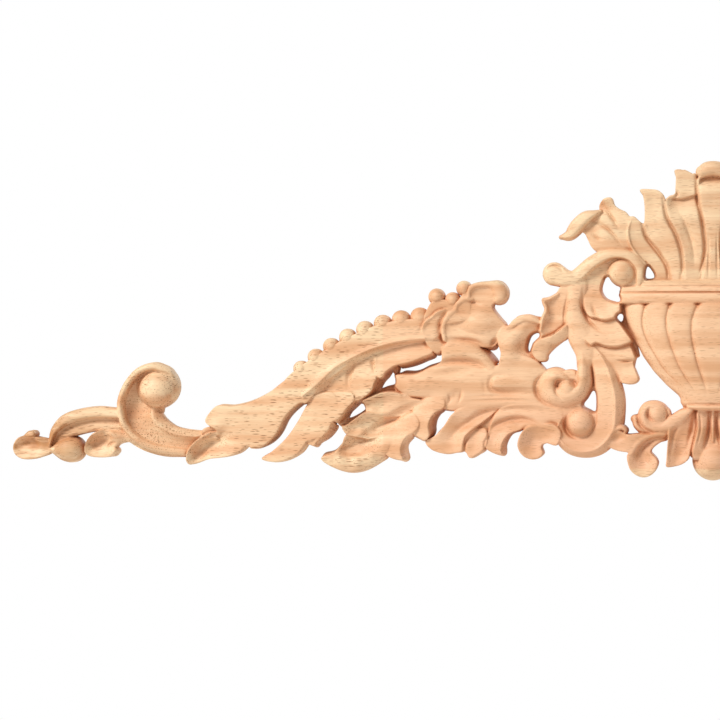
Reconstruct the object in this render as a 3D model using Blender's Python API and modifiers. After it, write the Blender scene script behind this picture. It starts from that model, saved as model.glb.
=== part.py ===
"""Carved wood pediment: an urn of flames on leafy scrolls, with a beaded wing at each side.

One glued-up board carved as one piece, flat at the back. The frame: X runs along the length,
Z up, and the back lies on the plane Y = 0 with the carving standing towards -Y. The origin is
on the back, behind the urn, at mid height. The left half is modelled and mirrored.

Every place below is (x, z) in millimetres on the back plane, and every height is how far the
carving stands off that plane.
"""

import math

import bmesh
import bpy
import numpy as np
from mathutils import Vector
from mathutils.geometry import delaunay_2d_cdt

NAME = "carved_pediment"
MM = 0.001

WALL_DRAFT = 0.8  # how much wider a carved wall is at the back than at its front edge
OVER_CENTRE = 8.0  # how far central forms run past the mirror plane
CENTRE = 0.7  # x of a central form's crest, so that the mirror plane cuts through faces
THIN = 5.0  # a rim narrower than this, on each side of its line, has a plain ridge

BALL_TOP = 21.0
BEAD_TOP = 16.5
BEAD_FIRST, BEAD_LAST = (-291.5, -32.5), (-206.5, 3.8)
BEAD_RISE = 7.4  # how far the bead row bows above its chord
BEAD_COUNT = 8
BEAD_RADII = (5.0, 6.4)

RIM_HALF_LENGTH = 65.5
RIM_LEVELS = ((12.3, 20.5), (20.0, 20.5), (20.4, 18.8), (24.6, 18.2), (29.0, 16.5))
URN_WIDTHS = (
    (-62.0, 20.5), (-57.0, 22.6), (-51.5, 24.4), (-44.5, 32.5), (-35.0, 41.3),
    (-25.0, 48.4), (-15.0, 53.5), (-3.0, 59.0), (13.0, 62.0),
)  # (z, half width) from the neck to the shoulder
URN_TOP = 23.5
URN_EDGE = 8.0
GADROONS = (-48.5, -32.0, -14.5)  # x of the grooves at the urn's widest level
GADROON_DEPTH = 2.2

KEPT_FACES = 0.44  # share of the faces kept after the union, which leaves many slivers

WOOD_COLOUR = (0.80, 0.55, 0.36, 1.0)
WOOD_ROUGHNESS = 0.55


def clear_scene():
    for item in list(bpy.data.objects):
        bpy.data.objects.remove(item, do_unlink=True)


def new_collection(name, hidden=False):
    collection = bpy.data.collections.new(name)
    bpy.context.scene.collection.children.link(collection)
    collection.hide_render = hidden
    return collection


def wood_material():
    material = bpy.data.materials.new("bare_rubberwood")
    material.use_nodes = True
    shader = material.node_tree.nodes["Principled BSDF"]
    shader.inputs["Base Color"].default_value = WOOD_COLOUR
    shader.inputs["Roughness"].default_value = WOOD_ROUGHNESS
    shader.inputs["Metallic"].default_value = 0.0
    return material


class Carver:
    """Builds the forms of the left half and keeps them in one hidden collection."""

    def __init__(self, collection):
        self.collection = collection

    def add(self, name, bm):
        bmesh.ops.recalc_face_normals(bm, faces=bm.faces)
        mesh = bpy.data.meshes.new(name)
        bm.to_mesh(mesh)
        bm.free()
        form = bpy.data.objects.new(name, mesh)
        form.hide_render = True
        form.display_type = "WIRE"
        self.collection.objects.link(form)
        return form

    def tongue(self, name, nodes, edge=9.0, per=1, draft=WALL_DRAFT):
        """A long rounded form along a smooth line through nodes (x, z, half width, crest)."""
        stations = rounded_ends(smooth_line(nodes, per))
        shoulders = () if max(node[2] for node in nodes) < THIN else (0.62,)
        bm = bmesh.new()
        rings = []
        for x, z, width, crest, across in stations:
            side = min(edge, crest - 1.0)
            half = [(width + draft, 0.0), (width, side)]
            half += [(share * width, side + 0.78 * (crest - side)) for share in shoulders]
            profile = [(-u, h) for u, h in half] + [(0.0, crest)] + half[::-1]
            rings.append([
                bm.verts.new(place(x + across[0] * u, z + across[1] * u, h)) for u, h in profile
            ])
        self.skin(bm, rings)
        return self.add(name, bm)

    def skin(self, bm, rings):
        """Faces between each two rings, and one over each end."""
        for first, second in zip(rings, rings[1:]):
            for k in range(len(first)):
                following = (k + 1) % len(first)
                bm.faces.new((first[k], first[following], second[following], second[k]))
        bm.faces.new(rings[0][::-1])
        bm.faces.new(rings[-1])

    def leaf(self, name, outline, heights, draft=WALL_DRAFT, per=1):
        """A leaf with this outline, whose face passes through the heights (x, z, height)."""
        edge = closed_line(outline, per)
        if signed_area(edge) < 0:
            edge = edge[::-1]
        inner = [spot for spot in heights if depth_inside(edge, spot) > 1.8]
        flat = [Vector(point) for point in edge] + [Vector(spot[:2]) for spot in inner]
        ring = list(range(len(edge)))
        corners, _, faces, *_ = delaunay_2d_cdt(flat, [], [ring], 1, 1e-4)
        bm = bmesh.new()
        face_of = height_of(heights)
        top = [bm.verts.new(place(p.x, p.y, face_of(p.x, p.y))) for p in corners]
        for face in faces:
            bm.faces.new([top[k] for k in face])
        rim = spread(edge, draft)
        low = [bm.verts.new(place(x, z, 0.0)) for x, z in rim]
        for k in ring:
            following = (k + 1) % len(edge)
            bm.faces.new((top[k], top[following], low[following], low[k]))
        bm.faces.new(low)
        return self.add(name, bm)

    def boss(self, name, x, z, radius, top, sides=12, rings=2):
        """A ball on a round post: a half sphere that reaches this height."""
        post = max(top - radius, 3.0)
        bm = bmesh.new()
        loops = [circle(bm, x, z, radius + WALL_DRAFT / 2, 0.0, sides)]
        for k in range(rings):
            turn = math.radians(90.0 * k / rings)
            height = post + (top - post) * math.sin(turn)
            loops.append(circle(bm, x, z, radius * math.cos(turn), height, sides))
        bm.faces.new(loops[0])
        for first, second in zip(loops, loops[1:]):
            for k in range(sides):
                following = (k + 1) % sides
                bm.faces.new((first[k], first[following], second[following], second[k]))
        pole = bm.verts.new(place(x, z, top))
        for k in range(sides):
            bm.faces.new((loops[-1][k], loops[-1][(k + 1) % sides], pole))
        return self.add(name, bm)

    def sections(self, name, rows):
        """A form lofted through rows of (x, z, height), each closed along the back."""
        bm = bmesh.new()
        rings = []
        for row in rows:
            front = [bm.verts.new(place(x, z, h)) for x, z, h in row]
            ends = [bm.verts.new(place(row[k][0], row[k][1], 0.0)) for k in (-1, 0)]
            rings.append(front + ends)
        self.skin(bm, rings)
        return self.add(name, bm)


def place(x, z, height):
    return Vector((x * MM, -height * MM, z * MM))


def circle(bm, x, z, radius, height, sides):
    turns = [2 * math.pi * k / sides for k in range(sides)]
    return [
        bm.verts.new(place(x + radius * math.cos(t), z + radius * math.sin(t), height))
        for t in turns
    ]


def spline(before, start, end, after, t):
    """A point of the Catmull-Rom curve from start to end."""
    return 0.5 * (
        2 * start
        + (end - before) * t
        + (2 * before - 5 * start + 4 * end - after) * t * t
        + (3 * start - before - 3 * end + after) * t ** 3
    )


def smooth_line(nodes, per):
    """The nodes and per - 1 points between each two of them, on one smooth curve."""
    p = np.array(nodes, float)
    p = np.vstack([2 * p[0] - p[1], p, 2 * p[-1] - p[-2]])
    line = [
        spline(*p[k:k + 4], step / per) for k in range(len(p) - 3) for step in range(per)
    ]
    return np.array(line + [p[-2]])


def closed_line(nodes, per):
    p = np.array(nodes, float)
    p = np.vstack([p[-1], p, p[0], p[1]])
    return [
        tuple(spline(*p[k:k + 4], step / per)) for k in range(len(nodes)) for step in range(per)
    ]


def rounded_ends(spine):
    """Stations (x, z, half width, crest, across), with a narrower one added past each end."""
    points = spine[:, :2]
    along = np.gradient(points, axis=0)
    along /= np.linalg.norm(along, axis=1, keepdims=True)
    across = np.stack([-along[:, 1], along[:, 0]], axis=1)
    stations = [(x, z, w, crest, across[k]) for k, (x, z, w, crest) in enumerate(spine)]
    for end, way in ((0, -1), (-1, 1)):
        x, z = points[end] + way * along[end] * spine[end, 2] * 0.8
        tip = (x, z, spine[end, 2] * 0.55, spine[end, 3] - 0.5, across[end])
        stations.insert(len(stations) if way > 0 else 0, tip)
    return stations


def signed_area(edge):
    return sum(
        a[0] * b[1] - b[0] * a[1] for a, b in zip(edge, edge[1:] + edge[:1])
    ) / 2


def spread(edge, distance):
    """The outline moved outwards by this distance."""
    p = np.array(edge)
    ahead = np.roll(p, -1, axis=0) - p
    ahead /= np.linalg.norm(ahead, axis=1, keepdims=True)
    outward = np.stack([ahead[:, 1], -ahead[:, 0]], axis=1)
    corner = outward + np.roll(outward, 1, axis=0)
    corner /= np.linalg.norm(corner, axis=1, keepdims=True)
    return p + corner * distance


def depth_inside(edge, spot):
    """How far a spot lies inside the outline, or a negative number outside it."""
    x, z = spot[:2]
    inside = False
    nearest = math.inf
    for (ax, az), (bx, bz) in zip(edge, edge[1:] + edge[:1]):
        if (az > z) != (bz > z) and x < (bx - ax) * (z - az) / (bz - az) + ax:
            inside = not inside
        length = max((bx - ax) ** 2 + (bz - az) ** 2, 1e-9)
        t = min(max(((x - ax) * (bx - ax) + (z - az) * (bz - az)) / length, 0), 1)
        nearest = min(nearest, math.hypot(x - ax - t * (bx - ax), z - az - t * (bz - az)))
    return nearest if inside else -nearest


def height_of(heights):
    """A smooth face through the heights: each counts by its nearness."""
    spots = np.array(heights, float)

    def face(x, z):
        share = 1 / (np.hypot(spots[:, 0] - x, spots[:, 1] - z) + 0.3) ** 3
        return float((share * spots[:, 2]).sum() / share.sum())

    return face


def carve_tip(carver):
    carver.tongue("tip_leaf", [
        (-473, -88.5, 6, 11), (-488, -90, 8.8, 11.5), (-493, -90.2, 7.8, 10)])
    carver.tongue("tip_curl", [(-492, -83.5, 1.6, 10.5), (-484.7, -80.2, 2.4, 13)], edge=10)
    carver.tongue("tip_channel", [
        (-467.5, -84, 4, 9.5), (-450, -74, 6, 10.5), (-424, -71, 8, 12)])
    carver.tongue("tip_arch", [
        (-472, -87, 1.6, 13), (-469.3, -78, 2.6, 15), (-459, -69, 3.8, 16),
        (-443, -64.5, 4.6, 16), (-421, -66, 4.5, 15)], edge=11, per=2)
    carver.tongue("tip_bud", [(-467.5, -91.3, 5.5, 12), (-456, -91.6, 9, 17)], edge=6)
    carver.tongue("tip_lobe", [
        (-437.5, -86.5, 8, 13), (-430, -86.7, 9.5, 13), (-413, -79, 7, 13)], edge=11)
    carver.tongue("tip_hook", [(-428, -91, 4.5, 13), (-424, -92.3, 3.2, 13.5)], edge=10)


def carve_c_scroll(carver):
    carver.tongue("scroll_channel", [
        (-410, -48, 7, 9.5), (-406.8, -61, 11.5, 10.5), (-400.5, -72.5, 11.5, 11.5),
        (-388, -82.5, 9, 12), (-362, -87.5, 6.5, 12.5)], draft=3)
    carver.tongue("scroll_rim", [
        (-387, -58, 2.6, 10), (-380.5, -53.5, 3.4, 11.5), (-378.6, -46, 3, 13.5),
        (-389, -32.5, 3.2, 16.5), (-410, -36.5, 2.6, 16.5), (-421.3, -60, 2.4, 16),
        (-417.5, -74, 2.4, 15.5), (-405.5, -86.3, 2.4, 14.5), (-371, -94, 2.4, 12.5)],
        edge=10, per=2)
    carver.leaf("scroll_ball_floor", [
        (-412, -50), (-411, -37), (-398, -33), (-384, -38), (-382, -52), (-396, -62)], [
        (-396, -47, 9.5)])
    carver.boss("scroll_ball", -394.3, -47.9, 13.4, BALL_TOP, sides=16, rings=4)


def carve_wing(carver):
    carver.leaf("wing_tail", [
        (-357, -78.5), (-365, -84), (-370.5, -89.5), (-373.3, -96.5), (-371.5, -101.3),
        (-367.5, -101.6), (-358, -98), (-346, -96.6), (-336, -93.7), (-328.8, -87.5),
        (-322, -76), (-340, -70)],
        [(-366, -85.5, 16.5), (-372, -97, 15), (-357, -79, 16), (-362, -90, 11.5),
         (-350, -85, 11.5), (-352, -96, 15), (-338, -91, 16), (-328, -80, 14.5)])
    carver.leaf("wing_blade", [
        (-359.5, -72.5), (-357, -65.5), (-350, -58.9), (-339, -59.8), (-327, -57),
        (-314, -50.5), (-298, -38.5), (-285, -38), (-284, -52), (-290, -57.5), (-297, -62),
        (-302.5, -68.5), (-307, -78), (-313, -85.3), (-320, -89.7), (-326, -90.2),
        (-329, -87.5), (-338, -82), (-350, -77)],
        [(-350, -68, 14), (-335, -66, 13.5), (-315, -58, 14), (-303, -70, 16.5),
         (-312, -82, 16), (-324, -86, 15.5), (-290, -50, 15.5)])
    carver.leaf("second_blade", [
        (-320, -96.3), (-311, -91.2), (-301, -82), (-293, -70.5), (-286.3, -58.5),
        (-279, -50), (-268, -50), (-266.5, -62), (-272, -75), (-281, -83.5), (-286.5, -85.5),
        (-292, -93), (-300, -98), (-309, -100), (-318, -98.5)],
        [(-318, -97, 12), (-300, -90, 13), (-290, -76, 12.5), (-276, -60, 12.5),
         (-286, -84, 14.5)])
    carver.leaf("third_blade", [
        (-286.5, -85.5), (-290, -70), (-284, -57), (-272, -50), (-255, -50), (-251.5, -55.5),
        (-257, -61.5), (-263.3, -69.5), (-267.5, -71), (-270, -76), (-274, -81),
        (-279, -85.3), (-280.5, -88.3), (-284, -87.5)],
        [(-283, -85, 14), (-276, -78, 15), (-268, -68, 15), (-256, -56, 15.5),
         (-270, -57, 13), (-282, -66, 12.5)], draft=2.5)
    carver.leaf("fourth_blade", [
        (-270, -42), (-262, -36), (-250, -27), (-238, -22), (-236.5, -38.5), (-240, -48.5),
        (-245, -53.8), (-251, -56), (-262, -55), (-272, -50)],
        [(-255, -36, 12), (-262, -48, 12), (-250, -51, 14), (-240, -44, 15)], draft=2.5)
    carver.leaf("fifth_blade", [
        (-240, -23), (-230, -18), (-215, -14.5), (-199, -14.5), (-196.5, -21.8), (-212, -28.3),
        (-223, -31), (-230, -35.5), (-232, -39.5), (-236.5, -38.5)],
        [(-230, -24, 12), (-205, -18, 13), (-215, -26, 15), (-229, -34, 15)], draft=1.5)
    carver.tongue("wing_crest", [
        (-292, -46, 11.5, 15), (-276, -33, 9.5, 15), (-257, -20.5, 8.3, 15),
        (-237, -11, 8, 15), (-198, -5.5, 7.5, 15)], edge=13)
    carver.tongue("wing_ridge", [
        (-286.5, -55, 2.5, 15), (-279, -43.5, 6.8, 17), (-257, -28, 5, 17.4),
        (-232, -17.8, 3.5, 17), (-201, -13.5, 2.8, 16.5)], edge=11)


def carve_beads(carver):
    """Beads of growing size along a shallow arc, then three over the shell."""
    first, last = Vector(BEAD_FIRST), Vector(BEAD_LAST)
    chord = last - first
    up = Vector((-chord.y, chord.x)).normalized()
    for k in range(BEAD_COUNT):
        t = k / (BEAD_COUNT - 1)
        centre = first + chord * t + up * BEAD_RISE * 4 * t * (1 - t)
        radius = BEAD_RADII[0] + (BEAD_RADII[1] - BEAD_RADII[0]) * t
        carver.boss(f"bead_{k}", *centre, radius, BEAD_TOP, sides=8, rings=2)
    for k, (x, z) in enumerate([(-194, 17.5), (-184, 14), (-174.8, 23.3)]):
        carver.boss(f"shell_bead_{k}", x, z, 5.8, BEAD_TOP, sides=8, rings=2)


def carve_fern(carver):
    carver.leaf("fern_tip", [
        (-257.5, -79.7), (-266, -92), (-275, -95.3), (-276.7, -97.3), (-273, -100.5),
        (-264, -105), (-255, -106.6), (-246, -104.7), (-237, -99.5), (-229.5, -93.7),
        (-225, -84), (-215, -70), (-230, -72), (-245, -80)],
        [(-275, -97.5, 13), (-258, -81, 14), (-262, -91, 13), (-245, -85, 10.5),
         (-255, -98, 13.5), (-250, -104, 15), (-236, -96, 15.5), (-225, -82, 14)])
    carver.leaf("fern_upper", [
        (-248, -56.8), (-240, -52.6), (-232, -49.5), (-222, -50), (-215, -54), (-205, -56),
        (-200, -60), (-215, -66), (-228, -68), (-236, -66), (-244, -64.3), (-245.5, -61)],
        [(-247, -58, 15.5), (-232, -50.5, 16), (-240, -62, 13), (-225, -63, 11),
         (-208, -60, 11.5)])
    carver.leaf("fern_middle", [
        (-245, -64.5), (-252, -69), (-259.5, -74), (-264, -71.5), (-262, -75),
        (-257.3, -79.7), (-250, -82), (-240, -83), (-228, -78), (-218, -68), (-230, -66)],
        [(-262, -73, 15.5), (-250, -69.5, 15.5), (-256, -78, 14), (-244, -75, 11.5),
         (-230, -72, 10.5)])
    carver.leaf("fern_lobe", [
        (-231.5, -84), (-233, -89), (-229.5, -94), (-226, -96.5), (-221, -97.5),
        (-217, -97.3), (-219, -90), (-217.5, -85), (-214, -80.5), (-210, -78.5),
        (-206, -72), (-212, -64), (-225, -72)],
        [(-230, -86, 13.5), (-222, -94, 15.5), (-220, -86, 16), (-212, -78, 16),
         (-221, -76, 12.5)], draft=2.5)
    carver.leaf("fern_root", [
        (-211.5, -69.5), (-213, -74), (-211.5, -78.5), (-206, -82.5), (-201.5, -84),
        (-198.5, -80), (-199.2, -74), (-197.5, -68), (-193.5, -63.5), (-190, -61.5),
        (-198, -55), (-210, -55)],
        [(-210, -74, 14), (-204, -81, 15.5), (-201, -74, 16), (-198, -65, 16),
         (-206, -62, 13)], draft=2.5)


def carve_acanthus(carver):
    carver.leaf("acanthus_body", [
        (-224.3, -38), (-210, -37.3), (-200, -33), (-191, -28), (-188, -18), (-178, -12),
        (-168, -14), (-164, -19.5), (-155, -30.5), (-138, -30), (-124, -28.5), (-118, -35),
        (-112, -45), (-112, -60), (-150, -62), (-190, -61), (-198, -56), (-205, -54.3),
        (-215, -52.5), (-221, -49), (-224.2, -44)],
        [(-210, -40, 15), (-196, -35, 16), (-208, -48, 13.5), (-195, -46, 13),
         (-178, -44, 14), (-178, -28, 13.5), (-158, -42, 15.5), (-145, -45, 12),
         (-130, -36, 15), (-130, -52, 14), (-165, -57, 12.5), (-150, -33, 15)])
    carver.leaf("acanthus_first_lobe", [
        (-202, -84.5), (-197.5, -90.7), (-188, -93.8), (-181, -93), (-174.8, -91),
        (-173.5, -81), (-160, -70), (-150, -60), (-165, -58), (-181, -63.5), (-189, -74),
        (-195, -80.5)],
        [(-200, -85, 14), (-189, -91, 15), (-177, -89, 15.5), (-188, -82, 12),
         (-176, -73, 12), (-165, -65, 12)])
    carver.leaf("acanthus_second_lobe", [
        (-173.5, -81), (-175.3, -86), (-175, -91), (-173, -92.5), (-171.3, -95.7),
        (-169.5, -96.5), (-166, -94.3), (-159.7, -89.3), (-158, -78), (-150, -66),
        (-165, -68)],
        [(-174, -88, 14), (-169, -93, 15), (-161, -86, 16), (-165, -79, 13.5),
         (-158, -70, 13)])
    carver.leaf("acanthus_third_lobe", [
        (-158, -78), (-160.5, -82), (-160.2, -88.5), (-156, -92), (-151, -94),
        (-147.5, -93.5), (-147.7, -87), (-145.5, -82), (-142, -78.7), (-135.5, -76.5),
        (-124, -74), (-110, -76), (-108, -60), (-130, -58), (-150, -62)],
        [(-158, -86, 14), (-151, -91, 15), (-149, -84, 16), (-140, -76, 16),
         (-150, -74, 13), (-135, -66, 13.5), (-118, -68, 13.5)], draft=2)
    carver.leaf("acanthus_hook", [
        (-134.5, -79), (-136.8, -86), (-135.5, -91.5), (-132, -95.6), (-127, -97.4),
        (-122.5, -96.7), (-118.6, -93), (-119.8, -89), (-119.3, -86.8), (-116, -85.8),
        (-110, -87), (-108, -78), (-112, -72), (-122, -73), (-130, -74)],
        [(-134.5, -85, 16), (-131, -78, 15.5), (-127, -86, 11.5), (-117, -80, 12),
         (-124, -94.5, 14), (-110, -84, 15)])


def carve_shell(carver):
    carver.leaf("shell_flap", [
        (-202.5, -15), (-204, -10), (-204.3, -5), (-202, 0), (-197, 3.5), (-200.5, 6),
        (-198, 12), (-190, 15), (-180, 12), (-186, 5), (-189, -14), (-194, -22),
        (-198, -20)],
        [(-203, -6, 15.5), (-199, 2, 15.5), (-191, 8, 15), (-196, -6, 12), (-193, 0, 11),
         (-198, -13, 14)])
    carver.leaf("shell", [
        (-190, -14), (-191, -5), (-189, 3), (-184, 7.5), (-180.5, 9), (-179, 14), (-174, 16),
        (-172, 20), (-170, 25), (-166, 27.3), (-158, 27.8), (-152, 28.8), (-147.5, 27.5),
        (-144, 23), (-143.6, 18), (-146, 14), (-150, 12.2), (-153.7, 12.7), (-154.2, 9),
        (-149, 2), (-146.5, -3), (-151, -8), (-157, -14), (-163, -18), (-172, -13)],
        [(-189.5, 0, 17), (-179.5, 11, 17.5), (-171, 21, 18.5), (-163, 26, 18.5),
         (-152, 27, 18.5), (-146, 20, 17.5), (-182, -6, 12.5), (-175, 8, 13.5),
         (-166, 18, 13.5), (-156, 20, 13), (-166, 2, 14), (-158, -6, 14)])
    carver.tongue("shell_bud", [(-156.5, -14.5, 2.2, 12.5), (-146.5, -6.5, 3.2, 14)], edge=10)


def carve_curls(carver):
    carver.leaf("curl_leaf", [
        (-151, -7), (-147, -3.2), (-142, -2.6), (-139.5, 1), (-136, 4.3), (-130, 5.3),
        (-124, 4), (-120.5, 2.2), (-120, -4), (-122.5, -6.3), (-128, -9.5), (-131.5, -14),
        (-132.5, -20), (-130.5, -25), (-126, -29), (-128, -36), (-140, -40), (-152, -36),
        (-150, -29), (-148.7, -22), (-152, -15)],
        [(-145, -7, 14), (-141, -18, 13.5), (-142, -31, 14.5), (-137, 0, 16), (-130, 3, 17),
         (-129, -3, 13.5)], draft=1.6)
    carver.leaf("stem_leaf", [
        (-120.5, 2.2), (-117.6, 9.5), (-120, 14), (-119.5, 16.7), (-115, 17.5),
        (-109.5, 20.5), (-107, 24), (-98, 24), (-98, 5), (-100, -5), (-103.5, -3),
        (-112, -9), (-120, -13.5), (-126, -17), (-124.5, -12.5), (-121.5, -8.5)],
        [(-118, 14, 15), (-117, 5, 15.5), (-118, -6, 15), (-111, 10, 12), (-111, -2, 11.5),
         (-103, 5, 13.5), (-106, 18, 13)])
    carver.tongue("stem_leaf_foot", [
        (-121.8, -22.5, 5.2, 13.5), (-108.5, -9.5, 4.8, 14.5), (-103.5, -5, 3.2, 13.5)])
    carver.tongue("stem", [
        (-95, 26, 8, 14), (-97, 12, 6.2, 14.5), (-96, 0, 8, 14.5), (-92, -11, 9.5, 14.5),
        (-89.5, -22, 7.3, 14), (-90, -31, 5.2, 14)], edge=11)


def carve_volutes(carver):
    carver.boss("large_volute_floor", -104, -47, 13, 10.5, rings=1)
    carver.tongue("large_volute", [
        (-90.5, -20, 5, 14), (-89.8, -33, 5, 15), (-89, -43, 5.4, 16), (-94, -51, 5.2, 16),
        (-103, -56, 5.4, 16), (-112.5, -54.5, 5.5, 15.5), (-117.5, -47.5, 5.3, 15),
        (-115.5, -40.2, 4.8, 14.5), (-110, -37.6, 4, 14)], edge=11, per=2)
    carver.boss("large_volute_eye", -103, -47.3, 6, 15.5, sides=8, rings=2)
    carver.boss("ball_scroll_floor", -95, -74, 13, 9.5, rings=1)
    carver.tongue("ball_scroll", [
        (-84, -18, 3.5, 14), (-78, -28, 6.5, 15), (-74, -40, 8.5, 16), (-71.9, -58, 10, 16),
        (-73.5, -76, 9.5, 15), (-81, -86, 8.3, 14.5), (-90, -89.5, 6.5, 14),
        (-99.5, -87.8, 6, 13.5), (-107.2, -81, 4.8, 13), (-108.5, -74, 3.4, 12.5)],
        edge=11, per=2)
    carver.boss("ball_scroll_ball", -93, -71.3, 9.8, 19)
    carver.leaf("top_scroll_floor", [
        (-97, 24), (-88, 31), (-80, 38), (-72, 43), (-60, 43), (-54, 38), (-50, 30),
        (-52, 24), (-62, 24.5), (-66, 24), (-70, 27), (-73.8, 31), (-76, 27), (-77, 20),
        (-92, 18), (-100, 20)], [(-85, 28, 12.5), (-63, 33, 11)])
    carver.tongue("top_scroll", [
        (-110.8, 33.2, 8.8, 13.5), (-103, 29.3, 6, 14), (-96, 31, 5.3, 14.5),
        (-84.5, 41, 4.6, 16), (-75, 46, 4, 17), (-66, 47.3, 3.5, 17.5), (-57, 44.7, 4, 17),
        (-51, 37, 3.8, 16.5), (-51, 29, 3.6, 15.5)], edge=10, per=2)
    carver.boss("top_scroll_ball", -63.8, 33.9, 9.8, BALL_TOP)


def carve_side_lobes(carver):
    carver.leaf("side_lobe_top", [
        (-90, 22), (-83, 24), (-77, 24), (-76, 19), (-72.5, 15.7), (-66.5, 14.3),
        (-64.5, 12.5), (-64.5, 7), (-66.5, 4.5), (-69, 2.8), (-76, 1.3), (-82, 3),
        (-87, 4), (-91.3, 12)],
        [(-87, 15, 13), (-76, 12, 14), (-69, 9, 15), (-77, 4, 16), (-82, 9, 13.5)])
    carver.leaf("side_lobe_middle", [
        (-90, 6), (-84, 3), (-76, 1), (-69, 2.5), (-66.5, 0.5), (-63, -4.5), (-59.5, -9),
        (-56.5, -13.5), (-60, -15.7), (-67, -17.8), (-75, -17), (-81.5, -14.7), (-86, -16),
        (-92, -8)],
        [(-83, 0, 12), (-70, 0, 13), (-61, -11, 15.5), (-68, -14, 16.5), (-79, -13, 16),
         (-75, -7, 14)])
    carver.leaf("side_lobe_low", [
        (-84, -15), (-68, -16), (-58, -17.5), (-55.5, -22), (-53.7, -26.5), (-55, -30),
        (-53, -36), (-51.5, -41), (-54, -43.7), (-58, -44.4), (-62, -43.6), (-64.5, -42.5),
        (-67.5, -35.5), (-72, -28.5), (-78, -21.8), (-85, -18)],
        [(-72, -20, 12.5), (-58, -24, 15), (-65, -28, 13.5), (-57, -38, 15)], draft=2)
    carver.leaf("side_lobe_floor", [
        (-68, -2), (-64.5, -1), (-62, -2), (-54, -6), (-46, -24), (-46, -36), (-55, -36),
        (-62, -12)], [(-56, -20, 6.5)])


def carve_crown(carver):
    carver.leaf("crest_leaf", [
        (-80, 49.5), (-85, 52), (-87.5, 57), (-89.5, 61), (-93, 60.5), (-92, 66), (-88, 72),
        (-80, 75), (-79.7, 82), (-76, 86.7), (-70.2, 87), (-68.5, 82), (-65, 79.2),
        (-60.5, 77), (-58, 74), (-54.5, 73.7), (-50, 69.7), (-48.5, 67), (-46.5, 58),
        (-41, 50), (-33, 42), (-30.5, 27), (-40.5, 27), (-41.5, 36), (-46, 41), (-54, 46.5),
        (-62, 50), (-70, 49.5)],
        [(-86, 60, 12), (-85, 68, 11.5), (-78, 55, 13.5), (-75, 64, 14), (-75, 82, 15.5),
         (-71, 75, 13.5), (-62, 73, 15), (-62, 60, 13), (-53, 66, 15), (-50, 52, 13.5),
         (-36, 36, 13)])
    carver.tongue("crest_curl", [
        (-107.5, 59.3, 1.6, 12), (-101, 61, 4, 13.5), (-95.5, 67, 5, 15.5),
        (-88.5, 73.8, 4.6, 16.5), (-82, 76.5, 2.2, 16)], edge=10)
    carver.leaf("outer_flame", [
        (-50.9, 92.6), (-42, 92.8), (-37.5, 91.7), (-33.5, 87.5), (-33.3, 79), (-31, 70),
        (-26.5, 61.5), (-22.5, 50), (-20.5, 38), (-20.5, 27), (-30.5, 27), (-31, 36),
        (-34.5, 44), (-40, 50.5), (-46, 58), (-49, 66), (-47.8, 70), (-47.6, 80),
        (-48.7, 88)],
        [(-42, 88, 16), (-41, 78, 13.5), (-42, 62, 14.5), (-33, 62, 14), (-28, 48, 14),
         (-25.5, 36, 14)])
    carver.leaf("inner_flame", [
        (-27, 106.3), (-20, 106.4), (-14.5, 103.8), (-12, 103), (-11.3, 96), (-10.5, 86),
        (-8.5, 74), (-6.3, 62), (-5.6, 50), (-6.3, 38), (-8.8, 27), (-20.5, 27),
        (-20.5, 38), (-22.5, 50), (-26.5, 61.5), (-31, 70), (-33.3, 79), (-32.3, 86.5),
        (-27, 88.3), (-26.2, 95), (-26, 101)],
        [(-20, 102, 17.5), (-18, 90, 17), (-25, 84, 14), (-20, 75, 12.5), (-17, 62, 12.5),
         (-13, 45, 13), (-14, 32, 14.5)])
    carver.tongue("middle_flame", [
        (CENTRE, 101, 11, 18), (CENTRE, 88, 10.4, 16), (CENTRE, 72, 8, 15.5),
        (CENTRE, 58, 5.8, 15), (CENTRE, 45, 5.3, 15), (CENTRE, 27, 8.5, 15)], edge=12)
    carver.tongue("middle_flame_roll", [
        (-6.5, 105.8, 4.3, 19), (CENTRE, 106.8, 5, 20), (6.5, 105.8, 4.3, 19)], edge=13)


def urn_height(x, half_width, level):
    """The front of the bowl: a flattened ellipse with gadroons that fade towards the neck."""
    swell = math.sqrt(max(1 - (x / half_width) ** 2, 0))
    top = URN_TOP - 6.5 * max(-level - 5, 0) / 57
    return URN_EDGE + (top - URN_EDGE) * swell


def carve_urn(carver):
    """The gadrooned bowl, its moulded rim and its neck."""
    widest = URN_WIDTHS[-1][1]
    rows = []
    for z, half_width in URN_WIDTHS:
        marks = [-half_width]
        for left, right in zip((-widest, *GADROONS), (*GADROONS, -GADROONS[-1])):
            middle = (left + right) / 2
            marks += [middle * half_width / widest, right * half_width / widest]
        fade = GADROON_DEPTH * min(max((z + 57) / 20, 0.2), 1)
        row = []
        for k, x in enumerate(marks):
            groove = fade if k % 2 == 0 and 0 < k else 0.0
            row.append((x, z, urn_height(x, half_width, z) - groove))
        rows.append(row)
    carver.sections("urn_bowl", rows)
    rows = []
    for z, height in RIM_LEVELS:
        half = RIM_HALF_LENGTH if z < 24.5 else RIM_HALF_LENGTH - 15
        marks = [-half + (half + OVER_CENTRE) * k / 6 for k in range(7)]
        rows.append([
            (x, z, 10 + (height - 10) * math.sqrt(1 - (x / (1.1 * RIM_HALF_LENGTH)) ** 2))
            for x in marks
        ])
    carver.sections("urn_rim", rows)


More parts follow.
